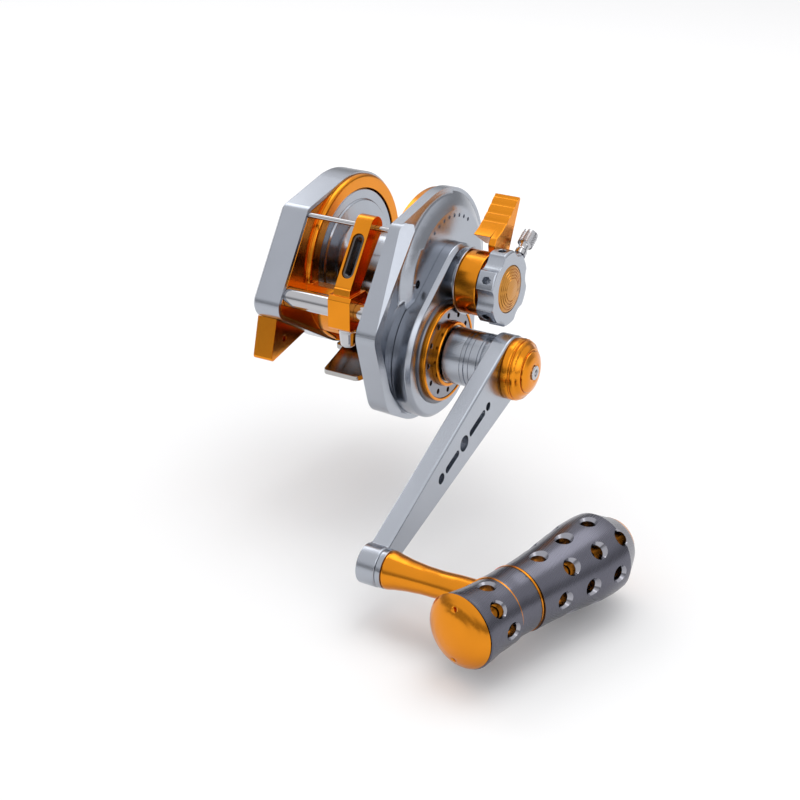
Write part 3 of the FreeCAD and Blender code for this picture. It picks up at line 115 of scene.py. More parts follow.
@dataclass(frozen=True)
class Finish:
    """A worked surface: its colour, gloss and fine marks."""

    name: str
    colour: Colour
    roughness: float
    metallic: float = 1.0
    swing: float = 0.05
    grain: Grain = Grain.POLISHED
    grain_scale: float = 700.0
    bump: float = 0.02
    turn_deg: float = 0.0
    coat: float = 0.0
    shade: float = 0.10

    def build(self) -> bpy.types.Material:
        """Makes the material.

        Returns:
            The node-based material of this finish.
        """
        material = bpy.data.materials.new(self.name)
        material.use_nodes = True
        tree = material.node_tree
        shader = tree.nodes["Principled BSDF"]
        shader.inputs["Metallic"].default_value = self.metallic
        shader.inputs["Coat Weight"].default_value = self.coat
        shader.inputs["Coat Roughness"].default_value = 0.08
        place = tree.nodes.new("ShaderNodeTexCoord")
        mapping = tree.nodes.new("ShaderNodeMapping")
        mapping.inputs["Rotation"].default_value = (0, 0, math.radians(self.turn_deg))
        mapping.inputs["Scale"].default_value = self.grain.value
        link(tree, place.outputs["Object"], mapping.inputs["Vector"])
        fine = self.noise(tree, mapping.outputs["Vector"], self.grain_scale, 4.0)
        broad = self.noise(tree, place.outputs["Object"], 55.0, 2.0)
        spread = tree.nodes.new("ShaderNodeMapRange")
        spread.inputs["To Min"].default_value = max(self.roughness - self.swing, 0.02)
        spread.inputs["To Max"].default_value = self.roughness + self.swing
        link(tree, fine, spread.inputs["Value"])
        link(tree, spread.outputs["Result"], shader.inputs["Roughness"])
        ramp = tree.nodes.new("ShaderNodeValToRGB")
        ramp.color_ramp.elements[0].position = 0.3
        ramp.color_ramp.elements[1].position = 0.7
        ramp.color_ramp.elements[0].color = (*[c * (1 - self.shade) for c in self.colour], 1)
        ramp.color_ramp.elements[1].color = (*self.colour, 1)
        link(tree, broad, ramp.inputs["Fac"])
        link(tree, ramp.outputs["Color"], shader.inputs["Base Color"])
        relief = tree.nodes.new("ShaderNodeBump")
        relief.inputs["Strength"].default_value = self.bump
        relief.inputs["Distance"].default_value = 0.1 * MM
        link(tree, fine, relief.inputs["Height"])
        link(tree, relief.outputs["Normal"], shader.inputs["Normal"])
        return material

    @staticmethod
    def noise(tree: bpy.types.NodeTree, vector: bpy.types.NodeSocket, scale: float,
              detail: float) -> bpy.types.NodeSocket:
        """Adds a noise texture.

        Args:
            tree: The material's tree.
            vector: Where the noise reads its place.
            scale: Noise cells in a metre.
            detail: Octaves of finer noise.

        Returns:
            The noise value's socket.
        """
        texture = tree.nodes.new("ShaderNodeTexNoise")
        texture.inputs["Scale"].default_value = scale
        texture.inputs["Detail"].default_value = detail
        link(tree, vector, texture.inputs["Vector"])
        return texture.outputs["Fac"]


SILVER: Colour = (0.41, 0.435, 0.485)
ORANGE_GOLD: Colour = (0.80, 0.275, 0.018)
GUNMETAL: Colour = (0.135, 0.135, 0.165)
GRIP_SKEW_DEG = 12.9
GRIP_TURN_DEG = -(90 - GRIP_SKEW_DEG)


@dataclass(frozen=True)
class Finishes:
    """Every finish of the reel, by the name that the sub-assemblies ask for."""

    silver: Finish = Finish("polished_silver", SILVER, 0.25, swing=0.04, shade=0.06)
    silver_turned: Finish = Finish("turned_silver", SILVER, 0.2, grain=Grain.TURNED, grain_scale=2600,
                                   bump=0.05)
    gold: Finish = Finish("gold_anodised", ORANGE_GOLD, 0.20, swing=0.05)
    gold_turned: Finish = Finish("turned_gold", ORANGE_GOLD, 0.19, grain=Grain.TURNED, grain_scale=2600,
                                 bump=0.06)
    gold_grip: Finish = Finish("grip_gold", ORANGE_GOLD, 0.2, grain=Grain.TURNED, grain_scale=2600,
                               bump=0.05, turn_deg=GRIP_TURN_DEG)
    gunmetal: Finish = Finish("gunmetal_grip", GUNMETAL, 0.27, swing=0.05, grain=Grain.TURNED,
                              grain_scale=2200, bump=0.08, turn_deg=GRIP_TURN_DEG)
    gunmetal_ring: Finish = Finish("gunmetal_ring", (0.17, 0.17, 0.19), 0.3, grain=Grain.TURNED,
                                   grain_scale=2200)
    steel: Finish = Finish("stainless", (0.44, 0.43, 0.42), 0.16, grain=Grain.BRUSHED)
    chrome: Finish = Finish("bright_steel", (0.52, 0.52, 0.54), 0.08, swing=0.03)
    brass: Finish = Finish("machined_brass", (0.72, 0.52, 0.2), 0.28)
    fibre: Finish = Finish("drag_fibre", (0.05, 0.05, 0.05), 0.6, metallic=0.0, bump=0.3)
    sink_bright: Finish = Finish("bright_sinks", (0.36, 0.36, 0.40), 0.16, swing=0.04)
    ring_grey: Finish = Finish("ring_grey", (0.27, 0.27, 0.30), 0.22, grain=Grain.TURNED, grain_scale=2600)
    cap_gold: Finish = Finish("knob_cap_gold", (0.55, 0.25, 0.05), 0.26, grain=Grain.TURNED, grain_scale=2600)
    ceramic: Finish = Finish("dark_ceramic", (0.035, 0.03, 0.03), 0.12, metallic=0.0, coat=0.6)


class Bench:
    """Holds the built materials and the steps that every sub-assembly shares."""

    def __init__(self) -> None:
        """Builds each finish once."""
        kinds = Finishes()
        self.materials = {name: getattr(kinds, name).build() for name in kinds.__dataclass_fields__}
        self.slots = {part["node"]: part["material_slot"] for part in frame["record"]["subparts"]}

    def material(self, finish: str) -> bpy.types.Material:
        """The built material of a finish, by its field's name."""
        return self.materials[finish]

    def paint(self, obj: bpy.types.Object, finish: str) -> None:
        """Gives the whole object one finish."""
        obj.data.materials.clear()
        obj.data.materials.append(self.material(finish))

    def paint_node(self, node: str, finish: str) -> None:
        """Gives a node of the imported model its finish, its shape unchanged."""
        self.paint(frame["nodes"][node], finish)
        for polygon in frame["nodes"][node].data.polygons:
            polygon.material_index = 0

    def skin(self, node: str, finish: str, bevel_mm: float = 0.0, smooth_deg: float = 32.0,
             cutter: bpy.types.Object | None = None) -> bpy.types.Object:
        """Stands a merged, bevelled copy in for a node, so that its edges catch the light.

        Args:
            node: The node's name.
            finish: The finish's field name.
            bevel_mm: Width of the rounded edges, or 0 for none.
            smooth_deg: Edges sharper than this stay sharp.
            cutter: A shape to cut away first.

        Returns:
            The finished piece.
        """
        source = frame["nodes"][node]
        mesh = source.data.copy()
        mesh.name = node + "_skin"
        shape = bmesh.new()
        shape.from_mesh(mesh)
        bmesh.ops.remove_doubles(shape, verts=shape.verts, dist=MERGE_MM * MM)
        bmesh.ops.dissolve_limit(shape, angle_limit=math.radians(FLAT_DEG), verts=shape.verts,
                                 edges=shape.edges)
        shape.to_mesh(mesh)
        shape.free()
        piece = bpy.data.objects.new(node + "_skin", mesh)
        bpy.context.scene.collection.objects.link(piece)
        if cutter is not None:
            self.carve(piece, cutter)
        if bevel_mm:
            bevel = piece.modifiers.new("edges", "BEVEL")
            bevel.width = bevel_mm * MM
            bevel.segments = 2
            bevel.limit_method = "ANGLE"
            bevel.angle_limit = math.radians(smooth_deg)
            bevel.use_clamp_overlap = False
            self.apply(piece)
        self.finish_piece(piece, finish, smooth_deg)
        self.hand_over(piece, node)
        return piece

    def hand_over(self, piece: bpy.types.Object, node: str) -> None:
        """Stands a finished piece in for a node, on its body."""
        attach(piece, self.body_of(node))
        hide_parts(node)

    @staticmethod
    def body_of(node: str) -> str:
        """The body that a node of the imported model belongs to."""
        return frame["nodes"][node]["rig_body"]

    def finish_piece(self, piece: bpy.types.Object, finish: str | None, smooth_deg: float) -> None:
        """Smooths a piece up to an angle and gives it its finish, or keeps the finishes it has."""
        mesh = piece.data
        mesh.polygons.foreach_set("use_smooth", [True] * len(mesh.polygons))
        mesh.set_sharp_from_angle(angle=math.radians(smooth_deg))
        even = piece.modifiers.new("even_shading", "WEIGHTED_NORMAL")
        even.keep_sharp = True
        even.weight = 90
        self.apply(piece)
        mesh = piece.data
        if finish is not None:
            self.paint(piece, finish)
        LOG.info("%s: %d faces", piece.name, len(mesh.polygons))

    @staticmethod
    def apply(piece: bpy.types.Object) -> None:
        """Turns a piece's modifiers into its mesh."""
        bpy.context.view_layer.update()
        done = bpy.data.meshes.new_from_object(piece.evaluated_get(bpy.context.evaluated_depsgraph_get()))
        piece.modifiers.clear()
        piece.data = done

    def carve(self, piece: bpy.types.Object, cutter: bpy.types.Object) -> None:
        """Cuts one closed shape out of another, and removes the cutter."""
        cut = piece.modifiers.new("cut", "BOOLEAN")
        cut.operation = "DIFFERENCE"
        cut.solver = "EXACT"
        cut.material_mode = "TRANSFER"
        cut.object = cutter
        self.apply(piece)
        bpy.data.objects.remove(cutter)

    def turned(self, name: str, profile: Profile, place: Matrix, segments: int = 128) -> bpy.types.Object:
        """Turns a closed profile about the local X axis.

        Args:
            name: The new object's name.
            profile: Corners (x, radius) in millimetres, in order round the section.
            place: Where the local axes stand.
            segments: Steps round the axis.

        Returns:
            The new object, its place in its mesh.
        """
        shape = bmesh.new()
        rings = []
        for x, radius in profile:
            if radius < 1e-6:
                rings.append([shape.verts.new((x * MM, 0, 0))])
                continue
            turn = [2 * math.pi * i / segments for i in range(segments)]
            rings.append([shape.verts.new((x * MM, radius * MM * math.cos(a), radius * MM * math.sin(a)))
                          for a in turn])
        for first, second in zip(rings, rings[1:] + rings[:1]):
            for i in range(segments):
                j = (i + 1) % segments
                corners = [first[i % len(first)], first[j % len(first)],
                           second[j % len(second)], second[i % len(second)]]
                unique = list(dict.fromkeys(corners))
                if len(unique) > 2 and not (len(first) == 1 and len(second) == 1):
                    shape.faces.new(unique)
        bmesh.ops.recalc_face_normals(shape, faces=shape.faces)
        shape.transform(place)
        mesh = bpy.data.meshes.new(name)
        shape.to_mesh(mesh)
        shape.free()
        piece = bpy.data.objects.new(name, mesh)
        bpy.context.scene.collection.objects.link(piece)
        return piece


def joined(name: str, shapes: list[bpy.types.Object]) -> bpy.types.Object:
    """Joins separate closed shapes into one object, and removes them."""
    whole = bmesh.new()
    for shape in shapes:
        whole.from_mesh(shape.data)
        bpy.data.objects.remove(shape)
    mesh = bpy.data.meshes.new(name)
    whole.to_mesh(mesh)
    whole.free()
    piece = bpy.data.objects.new(name, mesh)
    bpy.context.scene.collection.objects.link(piece)
    return piece


def ring_grooves(bench: Bench, node: str, cuts: list[tuple[float, float, float]]) -> bpy.types.Object:
    """Rings round a turned node, ready to be cut away from it.

    Args:
        bench: The shared steps.
        node: The node, turned about an axis along X.
        cuts: Share of the node's length, half width and floor radius of each groove, in millimetres.

    Returns:
        All rings as one cutter.
    """
    low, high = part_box(node)
    middle = Matrix.Translation(Vector((0, (low.y + high.y) / 2, (low.z + high.z) / 2)))
    rings = []
    for share, half, floor in cuts:
        x = (low.x + (high.x - low.x) * share) / MM
        section = [(x - half, floor), (x + half, floor), (x + half, floor + CUTTER_DEPTH),
                   (x - half, floor + CUTTER_DEPTH)]
        rings.append(bench.turned("groove", section, middle, RING_SEGMENTS))
    return joined(node + "_grooves", rings)


def outer_radius(node: str) -> float:
    """The radius in millimetres of a node turned about an axis along X."""
    low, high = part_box(node)
    return (high.z - low.z) / MM / 2


def smooth_profile(points: Profile, step: float = 0.6) -> Profile:
    """Runs a smooth curve through profile points given in order of x.

    Args:
        points: Corners (x, radius) in millimetres.
        step: Longest spacing of the result in millimetres.

    Returns:
        Finer points on a cubic curve through the corners.
    """
    result: Profile = []
    for i in range(len(points) - 1):
        before = points[max(i - 1, 0)]
        start, end = points[i], points[i + 1]
        after = points[min(i + 2, len(points) - 1)]
        span = end[0] - start[0]
        slope_in = (end[1] - before[1]) / (end[0] - before[0])
        slope_out = (after[1] - start[1]) / (after[0] - start[0])
        count = max(1, round(abs(span) / step))
        for k in range(count):
            t = k / count
            radius = ((2 * t ** 3 - 3 * t ** 2 + 1) * start[1] + (t ** 3 - 2 * t ** 2 + t) * span * slope_in
                      + (3 * t ** 2 - 2 * t ** 3) * end[1] + (t ** 3 - t ** 2) * span * slope_out)
            result.append((start[0] + t * span, radius))
    return result + [points[-1]]


# ---- Repeated detail ----

class WrapPattern:
    """A node tree that repeats a shape round and along the local X axis."""

    inputs = (("Piece", "NodeSocketObject", None), ("Around", "NodeSocketInt", 4),
              ("Rows", "NodeSocketInt", 1),
              ("Start", "NodeSocketFloat", 0.0), ("Pitch", "NodeSocketFloat", 0.0),
              ("Radius", "NodeSocketFloat", 0.0), ("Stagger", "NodeSocketFloat", 0.5),
              ("Phase", "NodeSocketFloat", 0.0), ("Material", "NodeSocketMaterial", None))

    def __init__(self) -> None:
        """Builds the tree once."""
        self.tree = bpy.data.node_groups.new("wrap_pattern", "GeometryNodeTree")
        face = self.tree.interface
        face.new_socket("Geometry", in_out="INPUT", socket_type="NodeSocketGeometry")
        for name, kind, value in self.inputs:
            socket = face.new_socket(name, in_out="INPUT", socket_type=kind)
            if value is not None:
                socket.default_value = value
        face.new_socket("Geometry", in_out="OUTPUT", socket_type="NodeSocketGeometry")
        self.wire()

    def maths(self, operation: str, first: object, second: object = 0.0) -> bpy.types.NodeSocket:
        """Adds a maths node fed by sockets or plain numbers.

        Args:
            operation: The node's operation.
            first: Left value.
            second: Right value.

        Returns:
            The result's socket.
        """
        node = self.tree.nodes.new("ShaderNodeMath")
        node.operation = operation
        for socket, value in zip(node.inputs, (first, second)):
            if isinstance(value, bpy.types.NodeSocket):
                link(self.tree, value, socket)
            else:
                socket.default_value = value
        return node.outputs[0]

    def wire(self) -> None:
        """Lays the points on their cylinder and puts the shape on each."""
        nodes, tree = self.tree.nodes, self.tree
        given = nodes.new("NodeGroupInput").outputs
        count = self.maths("MULTIPLY", given["Around"], given["Rows"])
        line = nodes.new("GeometryNodeMeshLine")
        link(tree, count, line.inputs["Count"])
        index = nodes.new("GeometryNodeInputIndex").outputs[0]
        row = self.maths("FLOOR", self.maths("DIVIDE", self.maths("ADD", index, 0.001), given["Around"]))
        shift = self.maths("MULTIPLY", self.maths("MODULO", row, 2.0), given["Stagger"])
        share = self.maths("DIVIDE", self.maths("ADD", index, shift), given["Around"])
        angle = self.maths("ADD", self.maths("MULTIPLY", share, 2 * math.pi), given["Phase"])
        along = self.maths("ADD", given["Start"], self.maths("MULTIPLY", row, given["Pitch"]))
        spot = nodes.new("ShaderNodeCombineXYZ")
        link(tree, along, spot.inputs[0])
        link(tree, self.maths("MULTIPLY", given["Radius"], self.maths("COSINE", angle)), spot.inputs[1])
        link(tree, self.maths("MULTIPLY", given["Radius"], self.maths("SINE", angle)), spot.inputs[2])
        move = nodes.new("GeometryNodeSetPosition")
        link(tree, line.outputs[0], move.inputs["Geometry"])
        link(tree, spot.outputs[0], move.inputs["Position"])
        facing = nodes.new("ShaderNodeCombineXYZ")
        link(tree, angle, facing.inputs[0])
        shape = nodes.new("GeometryNodeObjectInfo")
        link(tree, given["Piece"], shape.inputs["Object"])
        repeat = nodes.new("GeometryNodeInstanceOnPoints")
        link(tree, move.outputs[0], repeat.inputs["Points"])
        link(tree, shape.outputs["Geometry"], repeat.inputs["Instance"])
        link(tree, facing.outputs[0], repeat.inputs["Rotation"])
        real = nodes.new("GeometryNodeRealizeInstances")
        link(tree, repeat.outputs[0], real.inputs[0])
        coat = nodes.new("GeometryNodeSetMaterial")
        link(tree, real.outputs[0], coat.inputs["Geometry"])
        link(tree, given["Material"], coat.inputs["Material"])
        result = nodes.new("NodeGroupOutput")
        link(tree, coat.outputs[0], result.inputs[0])

    def make(self, name: str, place: Matrix, values: dict[str, object]) -> bpy.types.Object:
        """Runs the tree with its named inputs and keeps the result as a plain mesh.

        Args:
            name: The new object's name.
            place: Where the local X axis stands.
            values: The tree's inputs by name.

        Returns:
            A plain mesh object, its place in its mesh.
        """
        holder = bpy.data.objects.new(name, bpy.data.meshes.new(name))
        bpy.context.scene.collection.objects.link(holder)
        modifier = holder.modifiers.new("pattern", "NODES")
        modifier.node_group = self.tree
        for item in self.tree.interface.items_tree:
            if item.item_type == "SOCKET" and item.in_out == "INPUT" and item.name in values:
                modifier[item.identifier] = values[item.name]
        Bench.apply(holder)
        holder.data.transform(place)
        return holder


# ---- Sub-assemblies ----

@dataclass
class FrameAndFoot:
    """The gold frame, the silver covers, the fin and the foot."""

    edge_mm: float = 0.25

    def build(self, bench: Bench) -> None:
        """Dresses the still parts of the left side and the middle."""
        bench.skin("frame", "gold", self.edge_mm)
        bench.skin("left_cover", "silver", self.edge_mm)
        bench.skin("stand_fin", "gold", self.edge_mm)
        bench.skin("reel_foot", "steel", 0.3)
        bench.skin("worm_tube", "chrome")
        bench.skin("guide_rod", "chrome")
        for node in ("foot_screws", "idler_pin", "left_shaft_bearing", "pinion_bearing", "spool_shaft",
                     "cam_follower", "preset_springs"):
            bench.paint_node(node, "steel")


@dataclass
class SpoolAndGears:
    """The spool and all that turns inside with it."""

    def build(self, bench: Bench) -> None:
        """Dresses the spool and the gear train."""
        bench.skin("spool", "silver_turned", 0.15)
        for node in ("spool_bearings", "spool_gear_hub", "worm_shaft", "pinion", "drive_plate",
                     "line_tie_pin",
                     "main_shaft", "main_bearing_inner", "main_bearing_outer", "one_way_clutch", "grip_post",
                     "pawl"):
            bench.paint_node(node, "steel")
        for node in ("spool_gear", "idler_gear", "worm_gear", "main_gear"):
            bench.paint_node(node, "brass")
        bench.paint_node("drag_washer", "fibre")


@dataclass
class LineGuide:
    """The sliding guide with its dark ring and the cap under its pawl."""

    def build(self, bench: Bench) -> None:
        """Dresses the guide."""
        bench.skin("line_guide", "gold", 0.25)
        bench.skin("guide_ring", "ceramic", 0.3)
        bench.skin("pawl_cap", "chrome")


@dataclass
class GearSide:
    """Side plate, gear housing and the rings round the handle's shaft."""

    def build(self, bench: Bench) -> None:
        """Dresses the gear side."""
        bench.skin("right_side_plate", "silver", smooth_deg=20)
        bench.skin("gear_housing", "silver", 0.25)
        bench.skin("bearing_retainer", "gunmetal_ring")
        bench.skin("gold_ring", "gold_turned", 0.1)
        bench.skin("drilled_ring", "ring_grey", 0.15)
        bench.skin("hub_ring", "silver_turned", 0.1)


@dataclass
class DragControls:
    """Drag lever, preset star knob and its knurled stick."""

    lean_deg: float = 37.0
    stick_deg: float = 32.0
    cap_rings: int = 4
    cap_ring_pitch: float = 1.1
    groove: float = 1.9
    groove_depth: float = 0.4
    groove_shares: tuple[float, ...] = (0.66, 0.76, 0.86, 0.95)
    lower_face: tuple[float, float, float] = (0.56, 5.2, 11.8)
    upper_face: tuple[float, float, float] = (0.78, 2.6, 7.8)

    def axis(self) -> Vector:
        """A point on the spool's axis."""
        low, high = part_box("spool")
        return Vector((0.0, (low.y + high.y) / 2, (low.z + high.z) / 2))

    def face_height(self, share: float) -> float:
        """How far the thumb face stands off the lever's line, at a share of its reach."""
        start, height, slope = self.upper_face if share >= self.upper_face[0] else self.lower_face
        return height - (share - start) * slope

    def thumb_grooves(self, bench: Bench) -> bpy.types.Object:
        """Round bars across the lever's thumb face, ready to be cut away."""
        low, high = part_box("drag_lever")
        lean = math.radians(self.lean_deg)
        reach = (high.y - self.axis().y) / math.sin(lean) / MM
        start, end = low.x / MM - 2, high.x / MM + 2
        bars = []
        for share in self.groove_shares:
            radius, above = reach * share, self.face_height(share) + self.groove - self.groove_depth
            spot = self.axis() + Vector((0, radius * math.sin(lean) - above * math.cos(lean),
                                         radius * math.cos(lean) + above * math.sin(lean))) * MM
            section = [(start, 0.0), (start, self.groove), (end, self.groove), (end, 0.0)]
            bars.append(bench.turned("bar", section, Matrix.Translation(Vector((0, spot.y, spot.z))), 40))
        return joined("thumb_bars", bars)

    def cap(self, bench: Bench) -> None:
        """Turns the knob's domed cap with its fine rings."""
        low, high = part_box("knob_cap")
        start, end = low.x / MM, high.x / MM
        rim = outer_radius("knob_cap")
        crown = rim - 0.4

        def dome(radius: float) -> float:
            """How far out the dome stands at a radius."""
            return start + 1.3 + (end - start - 1.3) * (1 - (radius / crown) ** 2)

        profile = [(start, 0.0), (start, rim), (start + 1.0, rim), (dome(crown), crown)]
        for step in range(self.cap_rings):
            edge = crown - 0.8 - step * self.cap_ring_pitch
            profile += [(dome(edge + 0.15), edge + 0.15), (dome(edge) - 0.25, edge),
                        (dome(edge - 0.25) - 0.25, edge - 0.25), (dome(edge - 0.4), edge - 0.4)]
        profile += [(dome(1.0), 1.0), (end, 0.0)]
        piece = bench.turned("knob_cap_turned", profile, Matrix.Translation(self.axis()), RING_SEGMENTS)
        bench.finish_piece(piece, "cap_gold", 20)
        bench.hand_over(piece, "knob_cap")

    def knurl(self, bench: Bench, wraps: WrapPattern) -> None:
        """Covers the stick's head with small pyramids in staggered rows."""
        low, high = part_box("preset_stick")
        lean = math.radians(self.stick_deg)
        length = (high.y - self.axis().y) / math.cos(lean) / MM
        tip = length - 1.6
        base, height, half = 2.92, 0.32, 0.42
        mesh = bpy.data.meshes.new("pyramid")
        corners = [(-half, base, 0), (0, base, -half), (half, base, 0), (0, base, half),
                   (0, base + height, 0)]
        mesh.from_pydata([Vector(c) * MM for c in corners], [],
                         [(0, 1, 2, 3), (1, 0, 4), (2, 1, 4), (3, 2, 4), (0, 3, 4)])
        pyramid = bpy.data.objects.new("pyramid", mesh)
        bpy.context.scene.collection.objects.link(pyramid)
        turn = Matrix.Rotation(lean, 4, "X") @ Matrix.Rotation(math.radians(90), 4, "Z")
        middle = Vector(((low.x + high.x) / 2, self.axis().y, self.axis().z))
        rows = wraps.make("stick_knurl", Matrix.Translation(middle) @ turn, {
            "Piece": pyramid, "Around": 22, "Rows": 11, "Start": (tip - 6.0) * MM, "Pitch": 0.43 * MM,
            "Material": bench.material("chrome")})
        bpy.data.objects.remove(pyramid)
        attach(rows, bench.body_of("preset_stick"))

    def build(self, bench: Bench, wraps: WrapPattern) -> None:
        """Dresses the drag controls."""
        bench.skin("drag_lever", "gold", 0.3, cutter=self.thumb_grooves(bench))
        bench.paint_node("detent_plunger", "steel")
        bench.skin("preset_knob", "silver", 0.25)
        self.cap(bench)
        bench.skin("preset_stick", "chrome")
        self.knurl(bench, wraps)


@dataclass
class CrankHandle:
    """Sleeve, arm, nut and screw."""

    def build(self, bench: Bench) -> None:
        """Dresses the crank."""
        outer = outer_radius("handle_sleeve")
        cuts = [(share, 0.12, outer - 0.25) for share in (0.42, 0.62, 0.86)]
        bench.skin("handle_sleeve", "silver_turned", cutter=ring_grooves(bench, "handle_sleeve", cuts))
        bench.skin("handle_arm", "silver", 0.3)
        outer = outer_radius("handle_nut")
        cuts = [(0.30, 0.16, outer - 0.45), (0.44, 0.16, outer - 0.5), (0.80, 0.14, outer * 0.66)]
        bench.skin("handle_nut", "gold_turned", cutter=ring_grooves(bench, "handle_nut", cuts))
        bench.skin("handle_screw", "chrome", 0.1)
        bench.skin("grip_ring", "silver_turned", 0.2)
        bench.skin("grip_shank", "gold_turned")


@dataclass
class TBarGrip:
    """The turned T-bar grip with its countersunk holes."""

    bore: float = 8.8
    hole: float = 2.5
    sink: float = 3.5
    waist: float = 11.7
    belly: float = 14.9
    mouth: float = 13.2
    front: float = 22.4
    back: float = 57.5
    ring_at: float = 5.3
    ring_half: float = 0.4

    def place(self) -> Matrix:
        """The grip's own axes: X along the grip, the origin where the shank meets it."""
        low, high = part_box("grip_middle")
        turn = Matrix.Rotation(math.radians(90 - GRIP_SKEW_DEG), 4, "Z")
        return Matrix.Translation((low + high) / 2) @ turn

    def sinker(self, bench: Bench, surface: float) -> bpy.types.Object:
        """A countersink cutter that points outward along +Y from the grip's axis."""
        depth = 1.2
        profile = [(self.bore - 3.5, 0.0), (self.bore - 3.5, self.hole), (surface - depth, self.hole),
                   (surface + 0.45, self.sink + 0.35), (surface + 3, self.sink + 0.35), (surface + 3, 0.0)]
        return bench.turned("sinker", profile, Matrix.Rotation(math.pi / 2, 4, "Z"), 40)

    def shell(self, bench: Bench, wraps: WrapPattern, node: str, outside: Profile,
              rows: list[tuple[float, float]]) -> None:
        """Builds one drilled length of the grip.

        Args:
            bench: The shared steps.
            wraps: The pattern that repeats the cutters.
            node: The node that this length stands for.
            outside: Corners of its outer surface in order of x.
            rows: Station and first angle in degrees of each ring of holes.
        """
        curve = smooth_profile(outside)
        first, last = curve[0][0], curve[-1][0]
        profile = [(first, self.bore)] + curve + [(last, self.bore)]
        piece = bench.turned(node + "_turned", profile, self.place(), 160)
        bench.paint(piece, "gunmetal")
        for station, phase in rows:
            surface = min(curve, key=lambda spot: abs(spot[0] - station))[1]
            tool = self.sinker(bench, surface)
            ring = wraps.make("sink_ring", self.place(), {
                "Piece": tool, "Around": 4, "Rows": 1, "Start": station * MM, "Phase": math.radians(phase),
                "Material": bench.material("sink_bright")})
            bpy.data.objects.remove(tool)
            bench.carve(piece, ring)
        bench.finish_piece(piece, None, 24)
        bench.hand_over(piece, node)

    def build(self, bench: Bench, wraps: WrapPattern) -> None:
        """Builds the shells, and dresses the rings, caps and liner."""
        edge = self.ring_at + self.ring_half + 0.05
        self.shell(bench, wraps, "grip_front_shell", [
            (-self.front, self.mouth - 0.3), (-self.front + 0.3, self.mouth),
            (-self.front + 5, self.mouth - 0.5),
            (-self.front + 10, self.waist + 0.5), (-edge, self.waist + 0.1)], [(-14.5, 45), (-10.6, 0)])
        rows = [(22.0 + 13.2 * i, 45) for i in range(3)] + [(15.4 + 13.2 * i, 0) for i in range(3)]
        self.shell(bench, wraps, "grip_rear_shell", [
            (edge, self.waist + 0.05), (14, self.waist + 0.4), (22, self.waist + 1.1), (30, self.belly - 1.2),
            (37, self.belly - 0.3), (43.5, self.belly), (48.0, self.belly - 0.15), (48.6, self.belly - 0.5),
            (self.back - 0.9, self.belly - 4.9), (self.back, self.belly - 5.6)], rows)
        bench.skin("grip_middle", "gunmetal", 0.1)
        bench.skin("grip_ring_front", "gold_grip")
        bench.skin("grip_ring_rear", "gold_grip")
        bench.skin("grip_front_cap", "gold_grip")
        bench.skin("grip_rear_cap", "gold_grip")
        bench.skin("grip_liner", "gold_grip")


# ---- Studio ----

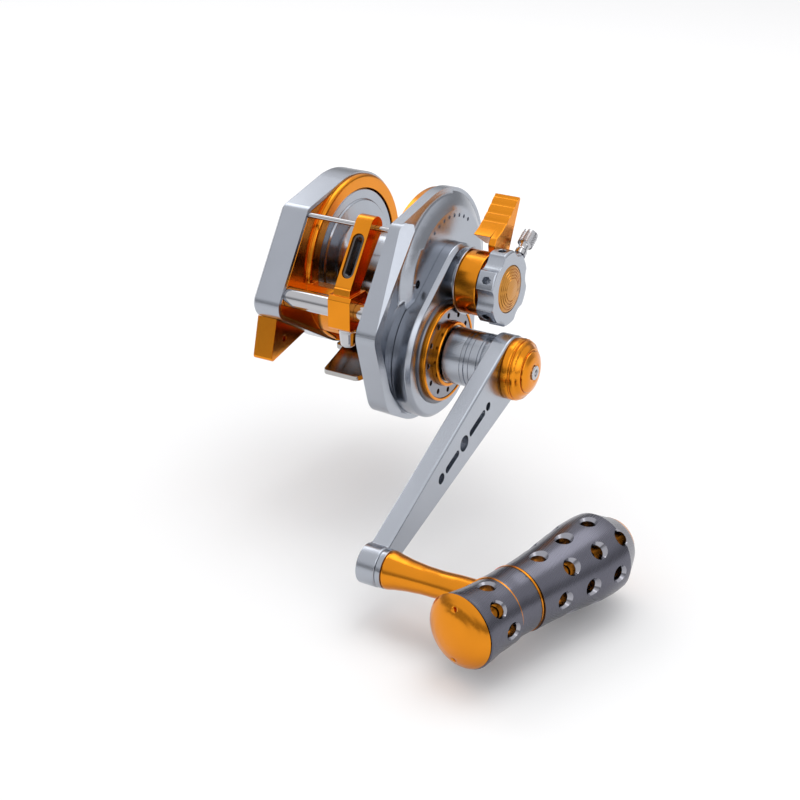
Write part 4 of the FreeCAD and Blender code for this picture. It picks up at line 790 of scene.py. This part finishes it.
@dataclass
class Studio:
    """Camera, floor and soft lights."""

    eye: Vector = Vector((0.3264, -0.5390, 0.2649))
    aim: Vector = Vector((0.0038, 0.0, -0.0237))
    lens_mm: float = 76.5

    def build(self) -> None:
        """Sets the studio up."""
        self.camera()
        self.floor()
        self.sky()
        self.softbox("key", (-0.75, 0.35, 0.8), 0.6, 2.2)
        self.softbox("side", (0.85, -0.25, 0.35), 0.6, 1.2)
        self.softbox("top", (0.1, 0.35, 0.95), 0.7, 2.6)
        bpy.context.scene.view_settings.view_transform = "Standard"

    def camera(self) -> None:
        """A long lens from the front right and above."""
        data = bpy.data.cameras.new("camera")
        data.lens = self.lens_mm
        data.sensor_width = 36.0
        data.clip_start, data.clip_end = 0.01, 50.0
        camera = bpy.data.objects.new("camera", data)
        camera.location = self.eye
        camera.rotation_euler = (self.aim - self.eye).to_track_quat("-Z", "Y").to_euler()
        bpy.context.scene.collection.objects.link(camera)
        bpy.context.scene.camera = camera

    def floor(self) -> None:
        """A wide pale floor just under the lowest point."""
        low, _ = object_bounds()
        mesh = bpy.data.meshes.new("floor")
        reach = 6.0
        height = low.z - 0.004
        corners = [(-reach, -reach, height), (reach, -reach, height), (reach, reach, height),
                   (-reach, reach, height)]
        mesh.from_pydata(corners, [], [(0, 1, 2, 3)])
        floor = bpy.data.objects.new("floor", mesh)
        bpy.context.scene.collection.objects.link(floor)
        paint = bpy.data.materials.new("pale_floor")
        paint.use_nodes = True
        shader = paint.node_tree.nodes["Principled BSDF"]
        shader.inputs["Base Color"].default_value = (0.9, 0.9, 0.9, 1)
        shader.inputs["Roughness"].default_value = 0.9
        mesh.materials.append(paint)
        floor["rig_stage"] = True

    @staticmethod
    def sky() -> None:
        """Soft surroundings: bright above, with a darker band that gives metal its contrast."""
        world = bpy.data.worlds.new("studio")
        bpy.context.scene.world = world
        world.use_nodes = True
        tree = world.node_tree
        back = tree.nodes["Background"]
        place = tree.nodes.new("ShaderNodeTexCoord")
        split = tree.nodes.new("ShaderNodeSeparateXYZ")
        link(tree, place.outputs["Generated"], split.inputs[0])
        spread = tree.nodes.new("ShaderNodeMapRange")
        spread.inputs["From Min"].default_value = -1.0
        link(tree, split.outputs["Z"], spread.inputs["Value"])
        ramp = tree.nodes.new("ShaderNodeValToRGB")
        ramp.color_ramp.elements[0].color = (0.8, 0.8, 0.8, 1)
        ramp.color_ramp.elements[1].color = (1.0, 1.0, 1.0, 1)
        for position, grey in ((0.46, 0.75), (0.54, 0.34), (0.62, 0.42), (0.72, 0.95)):
            ramp.color_ramp.elements.new(position).color = (grey, grey, grey * 1.02, 1)
        link(tree, spread.outputs["Result"], ramp.inputs["Fac"])
        rays = tree.nodes.new("ShaderNodeLightPath")
        seen = tree.nodes.new("ShaderNodeMix")
        seen.data_type = "RGBA"
        seen.inputs["B"].default_value = (1, 1, 1, 1)
        link(tree, rays.outputs["Is Camera Ray"], seen.inputs["Factor"])
        link(tree, ramp.outputs["Color"], seen.inputs["A"])
        link(tree, seen.outputs["Result"], back.inputs["Color"])
        back.inputs["Strength"].default_value = 0.95

    def softbox(self, name: str, spot: tuple[float, float, float], side: float, power: float) -> None:
        """Adds a square soft light that faces the reel.

        Args:
            name: The light's name.
            spot: Where it stands, in metres.
            side: Its width.
            power: Its power in watts.
        """
        data = bpy.data.lights.new(name, "AREA")
        data.shape = "SQUARE"
        data.size = side
        data.energy = power
        light = bpy.data.objects.new(name, data)
        light.location = spot
        light.rotation_euler = (self.aim - Vector(spot)).to_track_quat("-Z", "Y").to_euler()
        bpy.context.scene.collection.objects.link(light)


def main() -> None:
    """Builds each sub-assembly in order, then the studio."""
    logging.basicConfig(level=logging.INFO, format="%(message)s", stream=sys.stdout)
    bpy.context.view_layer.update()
    bench = Bench()
    wraps = WrapPattern()
    for part in (FrameAndFoot(), SpoolAndGears(), LineGuide(), GearSide(), CrankHandle()):
        part.build(bench)
    DragControls().build(bench, wraps)
    TBarGrip().build(bench, wraps)
    Studio().build()


if __name__ == "__main__":
    main()
